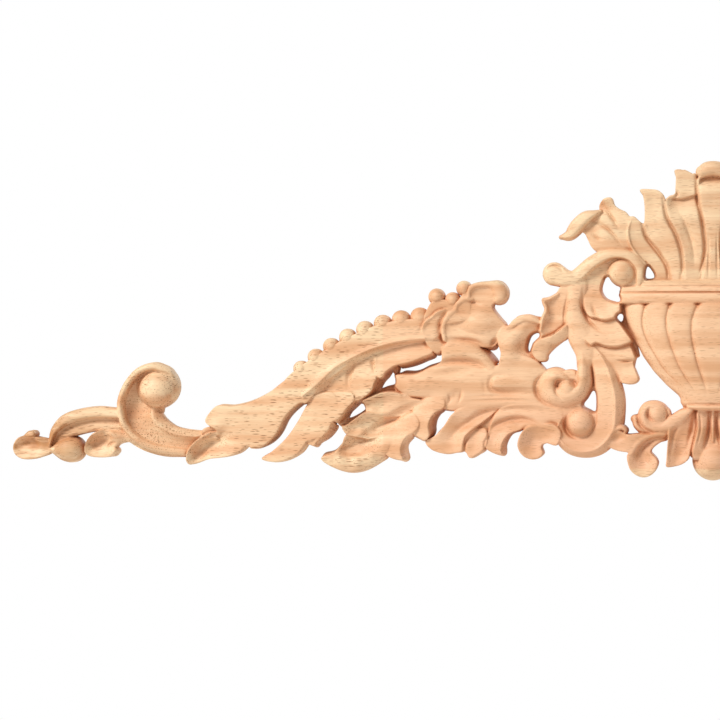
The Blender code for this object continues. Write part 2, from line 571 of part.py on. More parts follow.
def carve_foot(carver):
    carver.leaf("foot_side_leaf", [
        (-20.3, -60), (-8, -60), (-8, -70), (-12, -77), (-15, -85), (-16.5, -90),
        (-15.2, -94.6), (-17.5, -97.5), (-21, -100.2), (-26, -101.9), (-32.5, -102.3),
        (-32.6, -97), (-31.8, -88), (-31.3, -80), (-31, -70), (-31.5, -67.3), (-26, -65)],
        [(-14, -66, 13), (-28, -70, 14.5), (-24, -78, 14), (-21, -86, 11.5), (-29, -86, 14.5),
         (-20, -96, 13.5), (-30, -99, 15)])
    carver.tongue("foot_leaf", [
        (-6, -60, 4.4, 15), (-6.4, -75, 5, 16), (-8, -86, 6, 16.5), (-10, -92.5, 4.3, 15.5)],
        edge=11)
    carver.tongue("foot_rib", [(CENTRE, -58, 3.4, 13.5), (CENTRE, -92, 3.4, 10)], edge=8)
    carver.boss("foot_ball", CENTRE, -97.4, 14.6, 17, rings=3)
    carver.leaf("small_volute_floor", [
        (-57.3, -69.5), (-56.8, -66.5), (-52, -64.8), (-45, -60), (-33, -60), (-33, -70),
        (-31, -79), (-42, -82), (-51, -79), (-54.5, -73)],
        [(-50, -68, 11.5), (-42, -72, 10.5), (-38, -64, 10)])
    carver.tongue("small_volute", [
        (-30, -73, 5, 14), (-40, -75.2, 3.9, 14.5), (-46.3, -72.3, 3.8, 15),
        (-48.6, -65.8, 3.5, 15), (-45.8, -60.3, 3.4, 15), (-39.7, -58.6, 2.6, 14.5),
        (-35, -61, 2.8, 14)], edge=11, per=2)
    carver.boss("small_volute_eye", -39.7, -65, 6.4, 16.5, sides=8, rings=2)
    carver.leaf("foot_drop", [
        (-74, -84), (-66, -77), (-59.5, -79.5), (-52, -79), (-44, -79.5), (-31, -77),
        (-31.2, -83.3), (-37, -85.3), (-42, -89), (-43.4, -91.7), (-41, -94.2),
        (-38.7, -97), (-38, -100), (-40, -105), (-44, -108.7), (-49, -109.8), (-54, -108),
        (-58, -104), (-59.8, -98.5), (-60.2, -94.5), (-59.7, -92.3), (-66, -91.2),
        (-72.5, -88.3)],
        [(-68, -83, 14), (-56, -84, 14.5), (-55, -92, 15), (-47, -84, 14), (-49, -95, 11.5),
         (-56, -99, 14), (-48, -106, 14), (-41, -99, 14)])


def join(forms, material, home):
    """One closed piece: the forms united and mirrored."""
    base, *others = list(forms.objects)
    piece = bpy.data.objects.new(NAME, base.data.copy())
    home.objects.link(piece)
    piece.data.materials.append(material)
    forms.objects.unlink(base)
    bpy.data.objects.remove(base)

    unite = piece.modifiers.new("unite the forms", "BOOLEAN")
    unite.operation = "UNION"
    unite.operand_type = "COLLECTION"
    unite.collection = forms
    unite.solver = "EXACT"
    unite.use_self = True
    trim = piece.modifiers.new("fewer faces", "DECIMATE")
    trim.ratio = KEPT_FACES
    mirror = piece.modifiers.new("right half", "MIRROR")
    mirror.use_axis = (True, False, False)
    mirror.use_bisect_axis = (True, False, False)
    mirror.use_bisect_flip_axis = (True, False, False)
    mirror.use_clip = False
    mirror.bisect_threshold = 0.000001
    mirror.merge_threshold = 0.00002
    return piece


def main():
    clear_scene()
    home = new_collection("carved_wood_pediment")
    forms = new_collection("forms", hidden=True)
    carver = Carver(forms)
    for carve in (
        carve_tip, carve_c_scroll, carve_wing, carve_beads, carve_fern, carve_acanthus,
        carve_shell, carve_curls, carve_volutes, carve_side_lobes, carve_crown, carve_urn,
        carve_foot,
    ):
        carve(carver)
    join(forms, wood_material(), home)


main()
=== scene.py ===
"""A carved rubberwood pediment: an urn of flames on leafy scrolls, a beaded wing at each side.

The pediment is one flat-backed board carved in relief. The carving of the left half is worked as
a relief, each form laid over the last and gouged with flutes and veins, and mirrored about the
urn. Distances in the carving are millimetres on the back plane: x along the length, z up, and a
height off the back.
"""

from __future__ import annotations

import logging
import math
from abc import ABC, abstractmethod
from dataclasses import dataclass
from enum import Enum
from typing import Sequence

import bmesh
import bpy
import numpy as np
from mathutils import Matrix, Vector


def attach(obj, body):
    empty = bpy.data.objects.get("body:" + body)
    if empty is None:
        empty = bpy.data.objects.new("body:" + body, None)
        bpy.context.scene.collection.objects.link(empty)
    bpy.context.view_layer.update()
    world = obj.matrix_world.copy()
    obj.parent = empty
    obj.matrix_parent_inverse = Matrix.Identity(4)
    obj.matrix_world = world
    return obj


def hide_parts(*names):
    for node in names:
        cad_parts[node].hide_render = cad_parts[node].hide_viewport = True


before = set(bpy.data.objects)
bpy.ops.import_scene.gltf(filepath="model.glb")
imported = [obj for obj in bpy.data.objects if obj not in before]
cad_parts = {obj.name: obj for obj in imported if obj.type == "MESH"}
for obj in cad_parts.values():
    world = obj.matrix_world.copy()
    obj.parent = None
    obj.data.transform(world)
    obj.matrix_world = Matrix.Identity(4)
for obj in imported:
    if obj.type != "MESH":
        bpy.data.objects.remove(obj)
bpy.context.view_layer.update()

LOG = logging.getLogger("pediment")
MM = 0.001
# Points made for each span of a line, of a cut and of a ring, and room left round a form.
LINE_STEPS, CUT_STEPS, RING_STEPS = 10, 8, 6
MARGIN, RING_MARGIN = 1, 2
# The sheet through spot heights: its unit of length, how freely it may miss a spot, and how far
# it may pass below the lowest of them and above the highest.
SHEET_REACH, SHEET_EASE, SHEET_FLAT, SHEET_SUNK, SHEET_RAISED = 20.0, 0.002, 1e-3, 1.0, 0.6
# Numbers that stand for almost nothing, for the square of the shortest line, and for very far.
TINY, SHORTEST, FAR = 1e-9, 1e-12, 1e9
# Forms: the cover where there is none, the line cut round one, the height from which two melt
# together, the least rise from edge to crest, and the slack of a square end.
NO_WOOD = -9.0
TRACE_WIDTH, TRACE_STEP, TRACE_FLOOR = 1.3, 1.5, 4.0
MELT_FLOOR = 0.5
CREST_OVER_EDGE = 0.2
SQUARE_SLACK = 0.01
BOSS_FLOOR, BOSS_DRAFT = 3.0, 0.8
# Cuts: how far each reaches in its own widths, how it falls away, and what it leaves alone.
DENT_REACH, DENT_FADE, DENT_FLOOR = 1.6, 2.4, 5.0
GROOVE_REACH, GROOVE_FALL, GROOVE_END = 2.5, 1.5, 0.03
FLUTE_LEAST, FLUTE_CRISP = 0.05, 1.6
MOUTH_WIDTH, MOUTH_FALL = 1.6, 0.45
# The outline crosses the side of a cell between these shares of it.
CROSSING = (0.02, 0.98)
# How far the sawn walls spread towards the back, along x, and what takes away from it.
FLARE = (
    (-500, 0.3), (-350, 0.4), (-335, 1.6), (-285, 1.9), (-268, 3.4), (-200, 3.2), (-190, 2.0),
    (-182, 1.0), (-165, 1.8), (-158, 2.2), (-148, 2.6), (-140, 1.0), (-130, 1.2), (-120, 0.5),
    (0, 0.4),
)
FLARE_TO_RIGHT, FLARE_LOST_TO_LEFT, FLARE_LOST_BELOW, FLARE_LOST_ABOVE = 0.45, 0.8, 0.65, 0.7
FLARE_LOW, FLARE_HIGH, FLARE_BAND = -80.0, -16.0, 8.0
FLARE_FROM_HEIGHT, FLARE_RISE, FLARE_LEAST = 5.0, 3.0, 0.2
GAP_STEPS, GAP_STEP, GAP_TURN = 8, 0.5, 0.05
GAP_SHARE, GAP_SHARE_TO_RIGHT, GAP_LIMITS = 0.55, 0.85, (0.15, 1.3)
WAY_EASING, FLARE_EASING = 12, 24
FEET_LEFT, FEET_HIGH = -499.2, 112.0
# Beads: how finely they are made, and how much of them goes into the board.
ARC_STEPS, BEAD_SUBDIVISIONS = 64, 4
BEHIND_MIDDLE, BEAD_DEPTH = -0.02, 3.0
# In metres: what counts as on the centre line, and what counts as on the back plane.
SEAM, BACK_SLACK = 1e-6, 2e-6

Points = Sequence[Sequence[float]]
Pair = tuple[float, float]
Spot = tuple[float, float, float]
Tree, Node, Socket = bpy.types.NodeTree, bpy.types.Node, bpy.types.NodeSocket


class Section(Enum):
    """How a stroke swells from its edge to its crest: the power of its dome."""

    ROUND = 2.0
    FULL = 3.0
    FLAT = 6.0


def spline(points: Points, per: int, closed: bool = False) -> np.ndarray:
    """Smooth a row of points with a Catmull-Rom curve.

    Args:
        points: Points of any number of coordinates, all of which are smoothed.
        per: Points made for each span.
        closed: Whether the last point joins the first.

    Returns:
        One row for each point of the curve.
    """
    p = np.array(points, float)
    ring = [p[-1:], p, p[:2]] if closed else [2 * p[:1] - p[1:2], p, 2 * p[-1:] - p[-2:-1]]
    p = np.vstack(ring)
    t = np.arange(per)[:, None] / per
    spans = [
        0.5 * (
            2 * b + (c - a) * t + (2 * a - 5 * b + 4 * c - d) * t**2
            + (3 * b - a - 3 * c + d) * t**3
        )
        for a, b, c, d in zip(p, p[1:], p[2:], p[3:])
    ]
    line = np.vstack(spans)
    return line if closed else np.vstack([line, p[-2]])


def dome(share: np.ndarray, power: float) -> np.ndarray:
    """The height of a dome, one in the middle, at each share of its radius."""
    return np.sqrt(np.clip(1 - np.abs(share) ** power, 0, 1))


def thin_plate(spots: Points, x: np.ndarray, z: np.ndarray) -> np.ndarray:
    """Bend a smooth sheet through spot heights.

    Args:
        spots: Rows of x, z and height.
        x: Where the sheet is read, along the length.
        z: Where the sheet is read, upwards.

    Returns:
        The sheet's height at each place, kept within about the range of the spots.
    """
    s = np.array(spots, float)
    if len(s) < 3:
        return np.full(x.shape, s[:, 2].mean())
    middle = s[:, :2].mean(0)
    q = (s[:, :2] - middle) / SHEET_REACH
    r2 = ((q[:, None] - q[None]) ** 2).sum(2)
    n = len(s)
    system = np.zeros((n + 3, n + 3))
    system[:n, :n] = 0.5 * r2 * np.log(r2 + TINY) + np.eye(n) * SHEET_EASE
    system[:n, n], system[n, :n] = 1, 1
    system[:n, n + 1:], system[n + 1:, :n] = q, q.T
    if n == 3:
        system[:n, :n] = np.eye(n) * SHEET_FLAT
    weights = np.linalg.solve(system, np.r_[s[:, 2], 0, 0, 0])
    u, v = (x - middle[0]) / SHEET_REACH, (z - middle[1]) / SHEET_REACH
    sheet = weights[n] + weights[n + 1] * u + weights[n + 2] * v
    for (a, b), weight in zip(q, weights):
        r2 = (u - a) ** 2 + (v - b) ** 2
        sheet = sheet + weight * 0.5 * r2 * np.log(r2 + TINY)
    return np.clip(sheet, s[:, 2].min() - SHEET_SUNK, s[:, 2].max() + SHEET_RAISED)


def read_along(line: np.ndarray, column: int, along: np.ndarray) -> np.ndarray:
    """Read one column of a line's rows at these places along it, counted in rows."""
    return np.interp(along, np.arange(len(line)), line[:, column])


@dataclass
class Patch:
    """A window of the relief with the places of its cells."""

    cells: tuple[slice, slice]
    x: np.ndarray
    z: np.ndarray

    def nearest(self, line: np.ndarray, closed: bool = False) -> tuple[np.ndarray, ...]:
        """Find the nearest point of a line to each cell.

        Args:
            line: Points of the line, x and z first.
            closed: Whether the line is a ring.

        Returns:
            The distance, the place along the line in points, and how far to the left of it
            the cell lies.
        """
        start = line[:, :2] if closed else line[:-1, :2]
        end = np.roll(line[:, :2], -1, axis=0) if closed else line[1:, :2]
        best = np.full(self.x.shape, FAR)
        along, left = np.zeros(self.x.shape), np.zeros(self.x.shape)
        for k, ((ax, az), (bx, bz)) in enumerate(zip(start, end)):
            dx, dz = bx - ax, bz - az
            length2 = max(dx * dx + dz * dz, SHORTEST)
            px, pz = self.x - ax, self.z - az
            t = np.clip((px * dx + pz * dz) / length2, 0, 1)
            distance2 = (px - t * dx) ** 2 + (pz - t * dz) ** 2
            nearer = distance2 < best
            best = np.where(nearer, distance2, best)
            along = np.where(nearer, k + t, along)
            left = np.where(nearer, (pz * dx - px * dz) / math.sqrt(length2), left)
        return np.sqrt(best), along, left

    def within(self, ring: np.ndarray) -> tuple[np.ndarray, np.ndarray]:
        """Find how far each cell is from a ring, and whether it lies inside.

        Args:
            ring: x and z of its points.

        Returns:
            The distances, and true for the cells inside.
        """
        distance, _, _ = self.nearest(ring, closed=True)
        inside = np.zeros(self.x.shape, bool)
        for (ax, az), (bx, bz) in zip(ring, np.roll(ring, -1, axis=0)):
            if az != bz:
                crossing = (bx - ax) * (self.z - az) / (bz - az) + ax
                inside ^= ((az > self.z) != (bz > self.z)) & (self.x < crossing)
        return distance, inside


class Relief:
    """The left half of the board as it is carved: its heights and its outline."""

    def __init__(self, left: float, low: float, high: float, step: float) -> None:
        """Lay out the cells.

        Args:
            left: x of the board's left end; the right end is the centre line, x = 0.
            low: z of the lower edge.
            high: z of the upper edge.
            step: Size of a cell.
        """
        self.step = step
        self.xs = -step * np.arange(round(-left / step), -1, -1, dtype=float)
        self.zs = low + step * np.arange(round((high - low) / step) + 1)
        shape = (len(self.zs), len(self.xs))
        self.height = np.zeros(shape)
        self.cover = np.full(shape, NO_WOOD)
        self.edge = np.zeros(shape)

    def patch(self, points: np.ndarray, margin: float) -> Patch:
        """Take the window of cells round some points.

        Args:
            points: Rows that start with x and z.
            margin: Room left round them.

        Returns:
            The window.
        """
        low, high = points[:, :2].min(0) - margin, points[:, :2].max(0) + margin
        i0, i1 = np.searchsorted(self.xs, [low[0], high[0]])
        j0, j1 = np.searchsorted(self.zs, [low[1], high[1]])
        x, z = np.meshgrid(self.xs[i0:i1], self.zs[j0:j1])
        return Patch((slice(j0, j1), slice(i0, i1)), x, z)

    def lay(
        self, patch: Patch, cover: np.ndarray, top: np.ndarray, edge: np.ndarray,
        draft: np.ndarray | float, blend: float, trace: float = 0.0,
    ) -> None:
        """Lay a form over what is there.

        Args:
            patch: Where it lies.
            cover: How far each cell is inside the form's outline.
            top: Its height inside the outline.
            edge: Its height at the outline.
            draft: How far its walls spread on the way down.
            blend: How much it melts into a form of the same height.
            trace: Depth of the line cut round it into what it stands on.
        """
        wall = edge * (1 + cover / draft)
        form = np.clip(np.where(cover > 0, top, wall), 0, None)
        old = self.height[patch.cells]
        if trace > 0:
            stands = np.clip((edge - old) / TRACE_STEP, 0, 1) * (cover < 0) * (old > TRACE_FLOOR)
            old = old - trace * stands * np.exp(-((cover / TRACE_WIDTH) ** 2))
        higher = np.maximum(old, form)
        if blend > 0:
            melted = 0.5 * (old + form + np.sqrt((old - form) ** 2 + blend**2)) - 0.25 * blend
            meet = np.minimum(old, form) > MELT_FLOOR
            higher = np.where(meet, np.maximum(higher, melted), higher)
        self.height[patch.cells] = higher
        outer = cover > self.cover[patch.cells]
        self.edge[patch.cells] = np.where(outer, edge, self.edge[patch.cells])
        self.cover[patch.cells] = np.maximum(cover, self.cover[patch.cells])

    def stroke(
        self, nodes: Points, edge: float = 9.0, section: Section = Section.ROUND,
        draft: float = 0.8, blend: float = 0.6, trace: float = 1.2,
    ) -> None:
        """Carve a long form along a smooth line.

        Args:
            nodes: Rows of x, z, half width and crest height.
            edge: Height at its sides.
            section: How it swells between.
            draft: Spread of its walls.
            blend: How much it melts into its neighbours.
            trace: Depth of the line cut round it.
        """
        line = spline(nodes, LINE_STEPS)
        patch = self.patch(line, line[:, 2].max() + draft + MARGIN)
        distance, along, _ = patch.nearest(line)
        width, crest = read_along(line, 2, along), read_along(line, 3, along)
        side = np.minimum(edge, crest - CREST_OVER_EDGE)
        top = side + (crest - side) * dome(np.clip(distance / width, 0, 1), section.value)
        self.lay(patch, width - distance, top, side, draft, blend, trace)

    def moulding(
        self, nodes: Points, profile: Points, draft: float = 1.0, blend: float = 0.6,
        trace: float = 1.2, square: bool = False,
    ) -> None:
        """Run a moulding of any section along a smooth line.

        Args:
            nodes: Rows of x, z, half width and crest height.
            profile: Rows of a place across, from -1 at the right side of the line to 1 at the
                left, and the height there as a share of the crest.
            draft: Spread of its walls.
            blend: How much it melts into its neighbours.
            trace: Depth of the line cut round it.
            square: Whether its ends are cut square instead of round.
        """
        line = spline(nodes, LINE_STEPS)
        patch = self.patch(line, line[:, 2].max() + draft + MARGIN)
        distance, along, left = patch.nearest(line)
        width, crest = read_along(line, 2, along), read_along(line, 3, along)
        places, levels = np.array(profile).T
        turn = np.clip(left / width, -1, 1)
        top = crest * np.interp(turn, places, levels)
        edge = crest * np.where(turn > 0, levels[-1], levels[0])
        cover = width - distance
        if square:
            ends = np.minimum(along, len(line) - 1 - along)
            beyond = (ends <= 0) & (distance > np.abs(left) + SQUARE_SLACK)
            cover = np.where(beyond, NO_WOOD, cover)
        self.lay(patch, cover, np.maximum(top, 0), edge, draft, blend, trace)

    def plate(
        self, outline: Points, spots: Points, rounding: float = 0.8, draft: float = 0.8,
        blend: float = 0.6, trace: float = 1.2,
    ) -> None:
        """Carve a leaf with this outline, whose face passes through spot heights.

        Args:
            outline: x and z of the smooth ring round it.
            spots: Rows of x, z and height.
            rounding: Radius of its edge.
            draft: Spread of its walls.
            blend: How much it melts into its neighbours.
            trace: Depth of the line cut round it.
        """
        ring = spline(outline, RING_STEPS, closed=True)
        patch = self.patch(ring, draft + RING_MARGIN)
        distance, inside = patch.within(ring)
        top = thin_plate(spots, patch.x, patch.z)
        turned = np.clip(rounding - distance, 0, rounding)
        fillet = rounding - np.sqrt(np.clip(rounding**2 - turned**2, 0, None))
        cover = np.where(inside, distance, -distance)
        self.lay(patch, cover, top - fillet, top - rounding, draft, blend, trace)

    def boss(
        self, x: float, z: float, radius: float, top: float, blend: float = 0.3,
        trace: float = 1.2,
    ) -> None:
        """Carve a ball.

        Args:
            x: Its middle.
            z: Its middle.
            radius: Its radius.
            top: How high it stands out.
            blend: How much it melts into its neighbours.
            trace: Depth of the line cut round it.
        """
        patch = self.patch(np.array([(x, z)]), radius + BOSS_DRAFT + MARGIN)
        distance = np.hypot(patch.x - x, patch.z - z)
        base = max(top - radius, BOSS_FLOOR)
        height = base + (top - base) * dome(np.clip(distance / radius, 0, 1), 2)
        edge = np.full(height.shape, base)
        self.lay(patch, radius - distance, height, edge, BOSS_DRAFT, blend, trace)

    def dent(
        self, x: float, z: float, wide: float, high: float, depth: float, turn: float = 0
    ) -> None:
        """Scoop a soft oval hollow, or with a negative depth raise a soft swelling.

        Args:
            x: Its middle.
            z: Its middle.
            wide: Half its length.
            high: Half its width.
            depth: Depth at the middle.
            turn: How far it is turned anticlockwise, in degrees.
        """
        patch = self.patch(np.array([(x, z)]), max(wide, high) * DENT_REACH)
        c, s = math.cos(math.radians(turn)), math.sin(math.radians(turn))
        u = ((patch.x - x) * c + (patch.z - z) * s) / wide
        v = ((patch.z - z) * c - (patch.x - x) * s) / high
        share = np.clip(1 - (u * u + v * v) / DENT_FADE, 0, 1) ** 2
        solid = (self.height[patch.cells] > DENT_FLOOR) & (self.cover[patch.cells] > 0)
        self.height[patch.cells] -= np.where(solid, depth * share, 0)

    def pierce(self, outline: Points, grown: float) -> None:
        """Saw a hole and ease its mouth.

        Args:
            outline: x and z of the smooth ring round it.
            grown: How much wider than the ring it is sawn.
        """
        ring = spline(outline, RING_STEPS, closed=True)
        patch = self.patch(ring, grown + MOUTH_WIDTH + RING_MARGIN)
        distance, inside = patch.within(ring)
        outside = np.where(inside, -distance, distance) - grown
        lost = MOUTH_FALL * np.clip(1 - outside / MOUTH_WIDTH, 0, 1)
        height = self.height[patch.cells] * (1 - lost)
        self.height[patch.cells] = height
        nearer = outside < self.cover[patch.cells]
        self.edge[patch.cells] = np.where(nearer, height, self.edge[patch.cells])
        self.cover[patch.cells] = np.minimum(self.cover[patch.cells], outside)

    def cut(self, patch: Patch, depth: np.ndarray, floor: float) -> None:
        """Take some depth off the wood.

        Args:
            patch: Where it is taken.
            depth: How much, for each cell.
            floor: The lowest height it may reach.
        """
        for heights in (self.height, self.edge):
            old = heights[patch.cells]
            heights[patch.cells] = np.maximum(old - depth, np.minimum(old, floor))

    def groove(
        self, nodes: Points, width: float = 1.5, depth: float = 1.5, floor: float = 4.0
    ) -> None:
        """Cut a soft V that fades at both ends.

        Args:
            nodes: Rows of x and z, and where they vary, width and depth.
            width: Half width where a row has none.
            depth: Depth where a row has none.
            floor: The lowest height it may reach.
        """
        rows = [tuple(row) + (width, depth) if len(row) == 2 else row for row in nodes]
        line = spline(rows, CUT_STEPS)
        patch = self.patch(line, line[:, 2].max() * GROOVE_REACH + MARGIN)
        distance, along, _ = patch.nearest(line)
        share = np.clip(along / (len(line) - 1), GROOVE_END, 1 - GROOVE_END)
        deep = read_along(line, 3, along) * np.sin(np.pi * share) ** 0.5
        fall = np.exp(-GROOVE_FALL * (distance / read_along(line, 2, along)) ** 2)
        self.cut(patch, deep * fall, floor)

    def flute(self, nodes: Points, floor: float) -> None:
        """Cut with a gouge.

        Args:
            nodes: Rows of x, z, width and depth, which may run out to nothing.
            floor: The lowest height it may reach.
        """
        line = spline(nodes, CUT_STEPS)
        line[:, 2:] = np.clip(line[:, 2:], FLUTE_LEAST, None)
        patch = self.patch(line, line[:, 2].max() + MARGIN)
        distance, along, _ = patch.nearest(line)
        share = np.clip(distance / read_along(line, 2, along), 0, 1)
        self.cut(patch, read_along(line, 3, along) * (1 - share**2) ** FLUTE_CRISP, floor)

    def sand(self) -> None:
        """Ease every arris by averaging each cell with its neighbours."""
        outside = self.cover <= 0
        self.height = np.where(outside, np.maximum(self.edge, 0), self.height)
        wide = np.pad(self.height, ((0, 0), (1, 1)), mode="reflect")
        self.height = 0.25 * wide[:, :-2] + 0.5 * wide[:, 1:-1] + 0.25 * wide[:, 2:]
        tall = np.pad(self.height, ((1, 1), (0, 0)), mode="edge")
        self.height = 0.25 * tall[:-2] + 0.5 * tall[1:-1] + 0.25 * tall[2:]


FULL_CELL = 15
# How a partly covered cell is filled: its corners c and the outline points e on its sides.
CELL_CASES: dict[int, list[tuple[str, ...]]] = {
    1: [("c0", "e0", "e3")], 2: [("c1", "e1", "e0")], 4: [("c2", "e2", "e1")],
    8: [("c3", "e3", "e2")], 3: [("c0", "c1", "e1", "e3")], 6: [("c1", "c2", "e2", "e0")],
    12: [("c2", "c3", "e3", "e1")], 9: [("c0", "e0", "e2", "c3")],
    5: [("c0", "e0", "e3"), ("c2", "e2", "e1")], 10: [("c1", "e1", "e0"), ("c3", "e3", "e2")],
    7: [("c0", "c1", "c2", "e2", "e3")], 11: [("c0", "c1", "e1", "e2", "c3")],
    13: [("c0", "e0", "e1", "c2", "c3")], 14: [("c1", "c2", "c3", "e3", "e0")],
}


class Shell:
    """The closed surface of a relief: its face, its walls and its flat back."""

    def __init__(self, relief: Relief) -> None:
        """Number the points of the face: cells inside the outline, then points on it.

        Args:
            relief: The finished carving.
        """
        self.relief = relief
        cover, inside = relief.cover, relief.cover > 0
        x, z = np.meshgrid(relief.xs, relief.zs)
        self.corner = np.full(inside.shape, -1)
        self.corner[inside] = np.arange(inside.sum())
        points = [np.stack([x[inside], z[inside], relief.height[inside]], 1)]
        count = len(points[0])
        self.across: list[np.ndarray] = []
        for axis in (1, 0):
            here = (slice(None), slice(None, -1)) if axis else (slice(None, -1), slice(None))
            there = (slice(None), slice(1, None)) if axis else (slice(1, None), slice(None))
            crossed = inside[here] != inside[there]
            share = cover[here][crossed] / (cover[here][crossed] - cover[there][crossed])
            share = np.clip(share, *CROSSING)
            number = np.full(crossed.shape, -1)
            number[crossed] = count + np.arange(crossed.sum())
            count += crossed.sum()
            self.across.append(number)
            points.append(np.stack([
                field[here][crossed] * (1 - share) + field[there][crossed] * share
                for field in (x, z, relief.edge)
            ], 1))
        self.points = np.vstack(points)
        self.inside = inside

    def cell_points(self) -> dict[str, np.ndarray]:
        """The numbers of each cell's corners, and of the outline points on its sides."""
        level, upright = self.across
        return {
            "c0": self.corner[:-1, :-1], "c1": self.corner[:-1, 1:],
            "c2": self.corner[1:, 1:], "c3": self.corner[1:, :-1],
            "e0": level[:-1], "e1": upright[:, 1:], "e2": level[1:], "e3": upright[:, :-1],
        }

    def faces(self) -> tuple[np.ndarray, np.ndarray]:
        """Cover the cells with triangles.

        Returns:
            The triangles of the face, and the pieces of outline with the wood on their left.
        """
        ins = self.inside.astype(int)
        case = ins[:-1, :-1] + 2 * ins[:-1, 1:] + 4 * ins[1:, 1:] + 8 * ins[1:, :-1]
        at = self.cell_points()
        triangles, outline = [], []
        for code, polygons in CELL_CASES.items():
            here = case == code
            for polygon in polygons:
                ring = [at[name][here] for name in polygon]
                triangles += [
                    np.stack([ring[0], ring[k], ring[k + 1]], 1) for k in range(1, len(ring) - 1)
                ]
                for k, name in enumerate(polygon):
                    following = (k + 1) % len(polygon)
                    if name[0] == "e" and polygon[following][0] == "e":
                        outline.append(np.stack([ring[k], ring[following]], 1))
        full = case == FULL_CELL
        a, b, c, d = (at[name][full] for name in ("c0", "c1", "c2", "c3"))
        height = self.points[:, 2]
        rising = np.abs(height[a] - height[c]) < np.abs(height[b] - height[d])
        triangles += [
            np.stack([a, b, np.where(rising, c, d)], 1),
            np.stack([np.where(rising, a, b), c, d], 1),
        ]
        return np.vstack(triangles), np.vstack(outline)

    def read(self, field: np.ndarray, spots: np.ndarray) -> np.ndarray:
        """Read a field of the relief.

        Args:
            field: A value for each cell.
            spots: x and z of the places.

        Returns:
            The value in the cell nearest to each place.
        """
        relief = self.relief
        first = np.array([relief.zs[0], relief.xs[0]])
        cells = np.rint((spots[:, ::-1] - first) / relief.step).astype(int)
        row, column = np.clip(cells, 0, np.array(field.shape) - 1).T
        return field[row, column]

    def spread_feet(self, outline: np.ndarray) -> np.ndarray:
        """Move the outline outwards at the back, so that the sawn walls are not quite square.

        They spread more where they face right or down, and less in narrow gaps.

        Args:
            outline: The pieces of outline, as pairs of points.

        Returns:
            x and z of every point on the back, in millimetres.
        """
        relief = self.relief
        feet = self.points[:, :2].copy()
        start = self.inside.sum()
        rim, pairs = feet[start:], outline - start
        down, right = np.gradient(-relief.cover)
        way = eased(np.stack([self.read(right, rim), self.read(down, rim)], 1), pairs, WAY_EASING)
        way /= np.maximum(np.hypot(*way.T), 1e-6)[:, None]
        spread = np.interp(rim[:, 0], *np.array(FLARE).T)
        spread *= 1 + FLARE_TO_RIGHT * np.clip(way[:, 0], 0, 1)
        spread *= 1 - FLARE_LOST_TO_LEFT * np.clip(-way[:, 0], 0, 1)
        low = np.clip((FLARE_LOW - rim[:, 1]) / FLARE_BAND, 0, 1)
        spread *= 1 - FLARE_LOST_BELOW * np.clip(-way[:, 1], 0, 1) * low
        high = np.clip((rim[:, 1] - FLARE_HIGH) / FLARE_BAND, 0, 1)
        spread *= 1 - FLARE_LOST_ABOVE * high
        tall = (self.points[start:, 2] - FLARE_FROM_HEIGHT) / FLARE_RISE
        spread *= np.clip(tall, FLARE_LEAST, 1)
        before = self.read(relief.cover, rim)
        for reach in np.arange(1, GAP_STEPS + 1) * GAP_STEP:
            after = self.read(relief.cover, rim + way * reach)
            room = np.clip(GAP_SHARE + GAP_SHARE_TO_RIGHT * way[:, 0], *GAP_LIMITS) * reach
            spread = np.where(after > before + GAP_TURN, np.minimum(spread, room), spread)
            before = after
        spread = eased(spread[:, None], pairs, FLARE_EASING)
        moved = rim + way * spread
        feet[start:, 0] = np.clip(moved[:, 0], FEET_LEFT, 0)
        feet[start:, 1] = np.clip(moved[:, 1], -FEET_HIGH, FEET_HIGH)
        return feet

    def mesh(self, name: str) -> bpy.types.Mesh:
        """Make the half pediment's mesh, open only on the centre line.

        Args:
            name: Name of the mesh.

        Returns:
            The mesh, in metres, its back on y = 0 and its face towards -y.
        """
        face, outline = self.faces()
        count = len(self.points)
        x, z, height = self.points.T * MM
        front = np.stack([x, -height, z], 1)
        foot_x, foot_z = self.spread_feet(outline).T * MM
        back = np.stack([foot_x, np.zeros(count), foot_z], 1)
        first, second = outline.T
        walls = np.vstack([
            np.stack([second, first, first + count], 1),
            np.stack([second, first + count, second + count], 1),
        ])
        triangles = np.vstack([face, face[:, ::-1] + count, walls])
        return mesh_of(name, np.vstack([front, back]), triangles)


def eased(values: np.ndarray, pairs: np.ndarray, passes: int) -> np.ndarray:
    """Smooth values along an outline.

    Args:
        values: A row for each point.
        pairs: The points that are joined.
        passes: Times that each point is averaged with its neighbours.

    Returns:
        The smoothed rows.
    """
    first, second = pairs.T
    joined = np.bincount(pairs.ravel(), minlength=len(values))[:, None]
    for _ in range(passes):
        total = 2 * values
        np.add.at(total, first, values[second])
        np.add.at(total, second, values[first])
        values = total / (2 + joined)
    return values


def mesh_of(name: str, points: np.ndarray, triangles: np.ndarray) -> bpy.types.Mesh:
    """Make a mesh with no loose point.

    Args:
        name: Its name.
        points: Its points in metres, used or not.
        triangles: The numbers of the three points of each face.

    Returns:
        The mesh.
    """
    used, index = np.unique(triangles, return_inverse=True)
    triangles = index.reshape(-1, 3)
    mesh = bpy.data.meshes.new(name)
    mesh.vertices.add(len(used))
    mesh.vertices.foreach_set("co", points[used].astype(np.float32).ravel())
    mesh.loops.add(triangles.size)
    mesh.loops.foreach_set("vertex_index", triangles.astype(np.int32).ravel())
    mesh.polygons.add(len(triangles))
    mesh.polygons.foreach_set("loop_start", np.arange(0, triangles.size, 3, dtype=np.int32))
    mesh.update(calc_edges=True)
    mesh.validate()
    return mesh


@dataclass
class Carving(ABC):
    """A part of the carving: a family of forms that are cut together into the wood."""

    wood: Relief

    @abstractmethod
    def carve(self) -> None:
        """Carve its forms."""


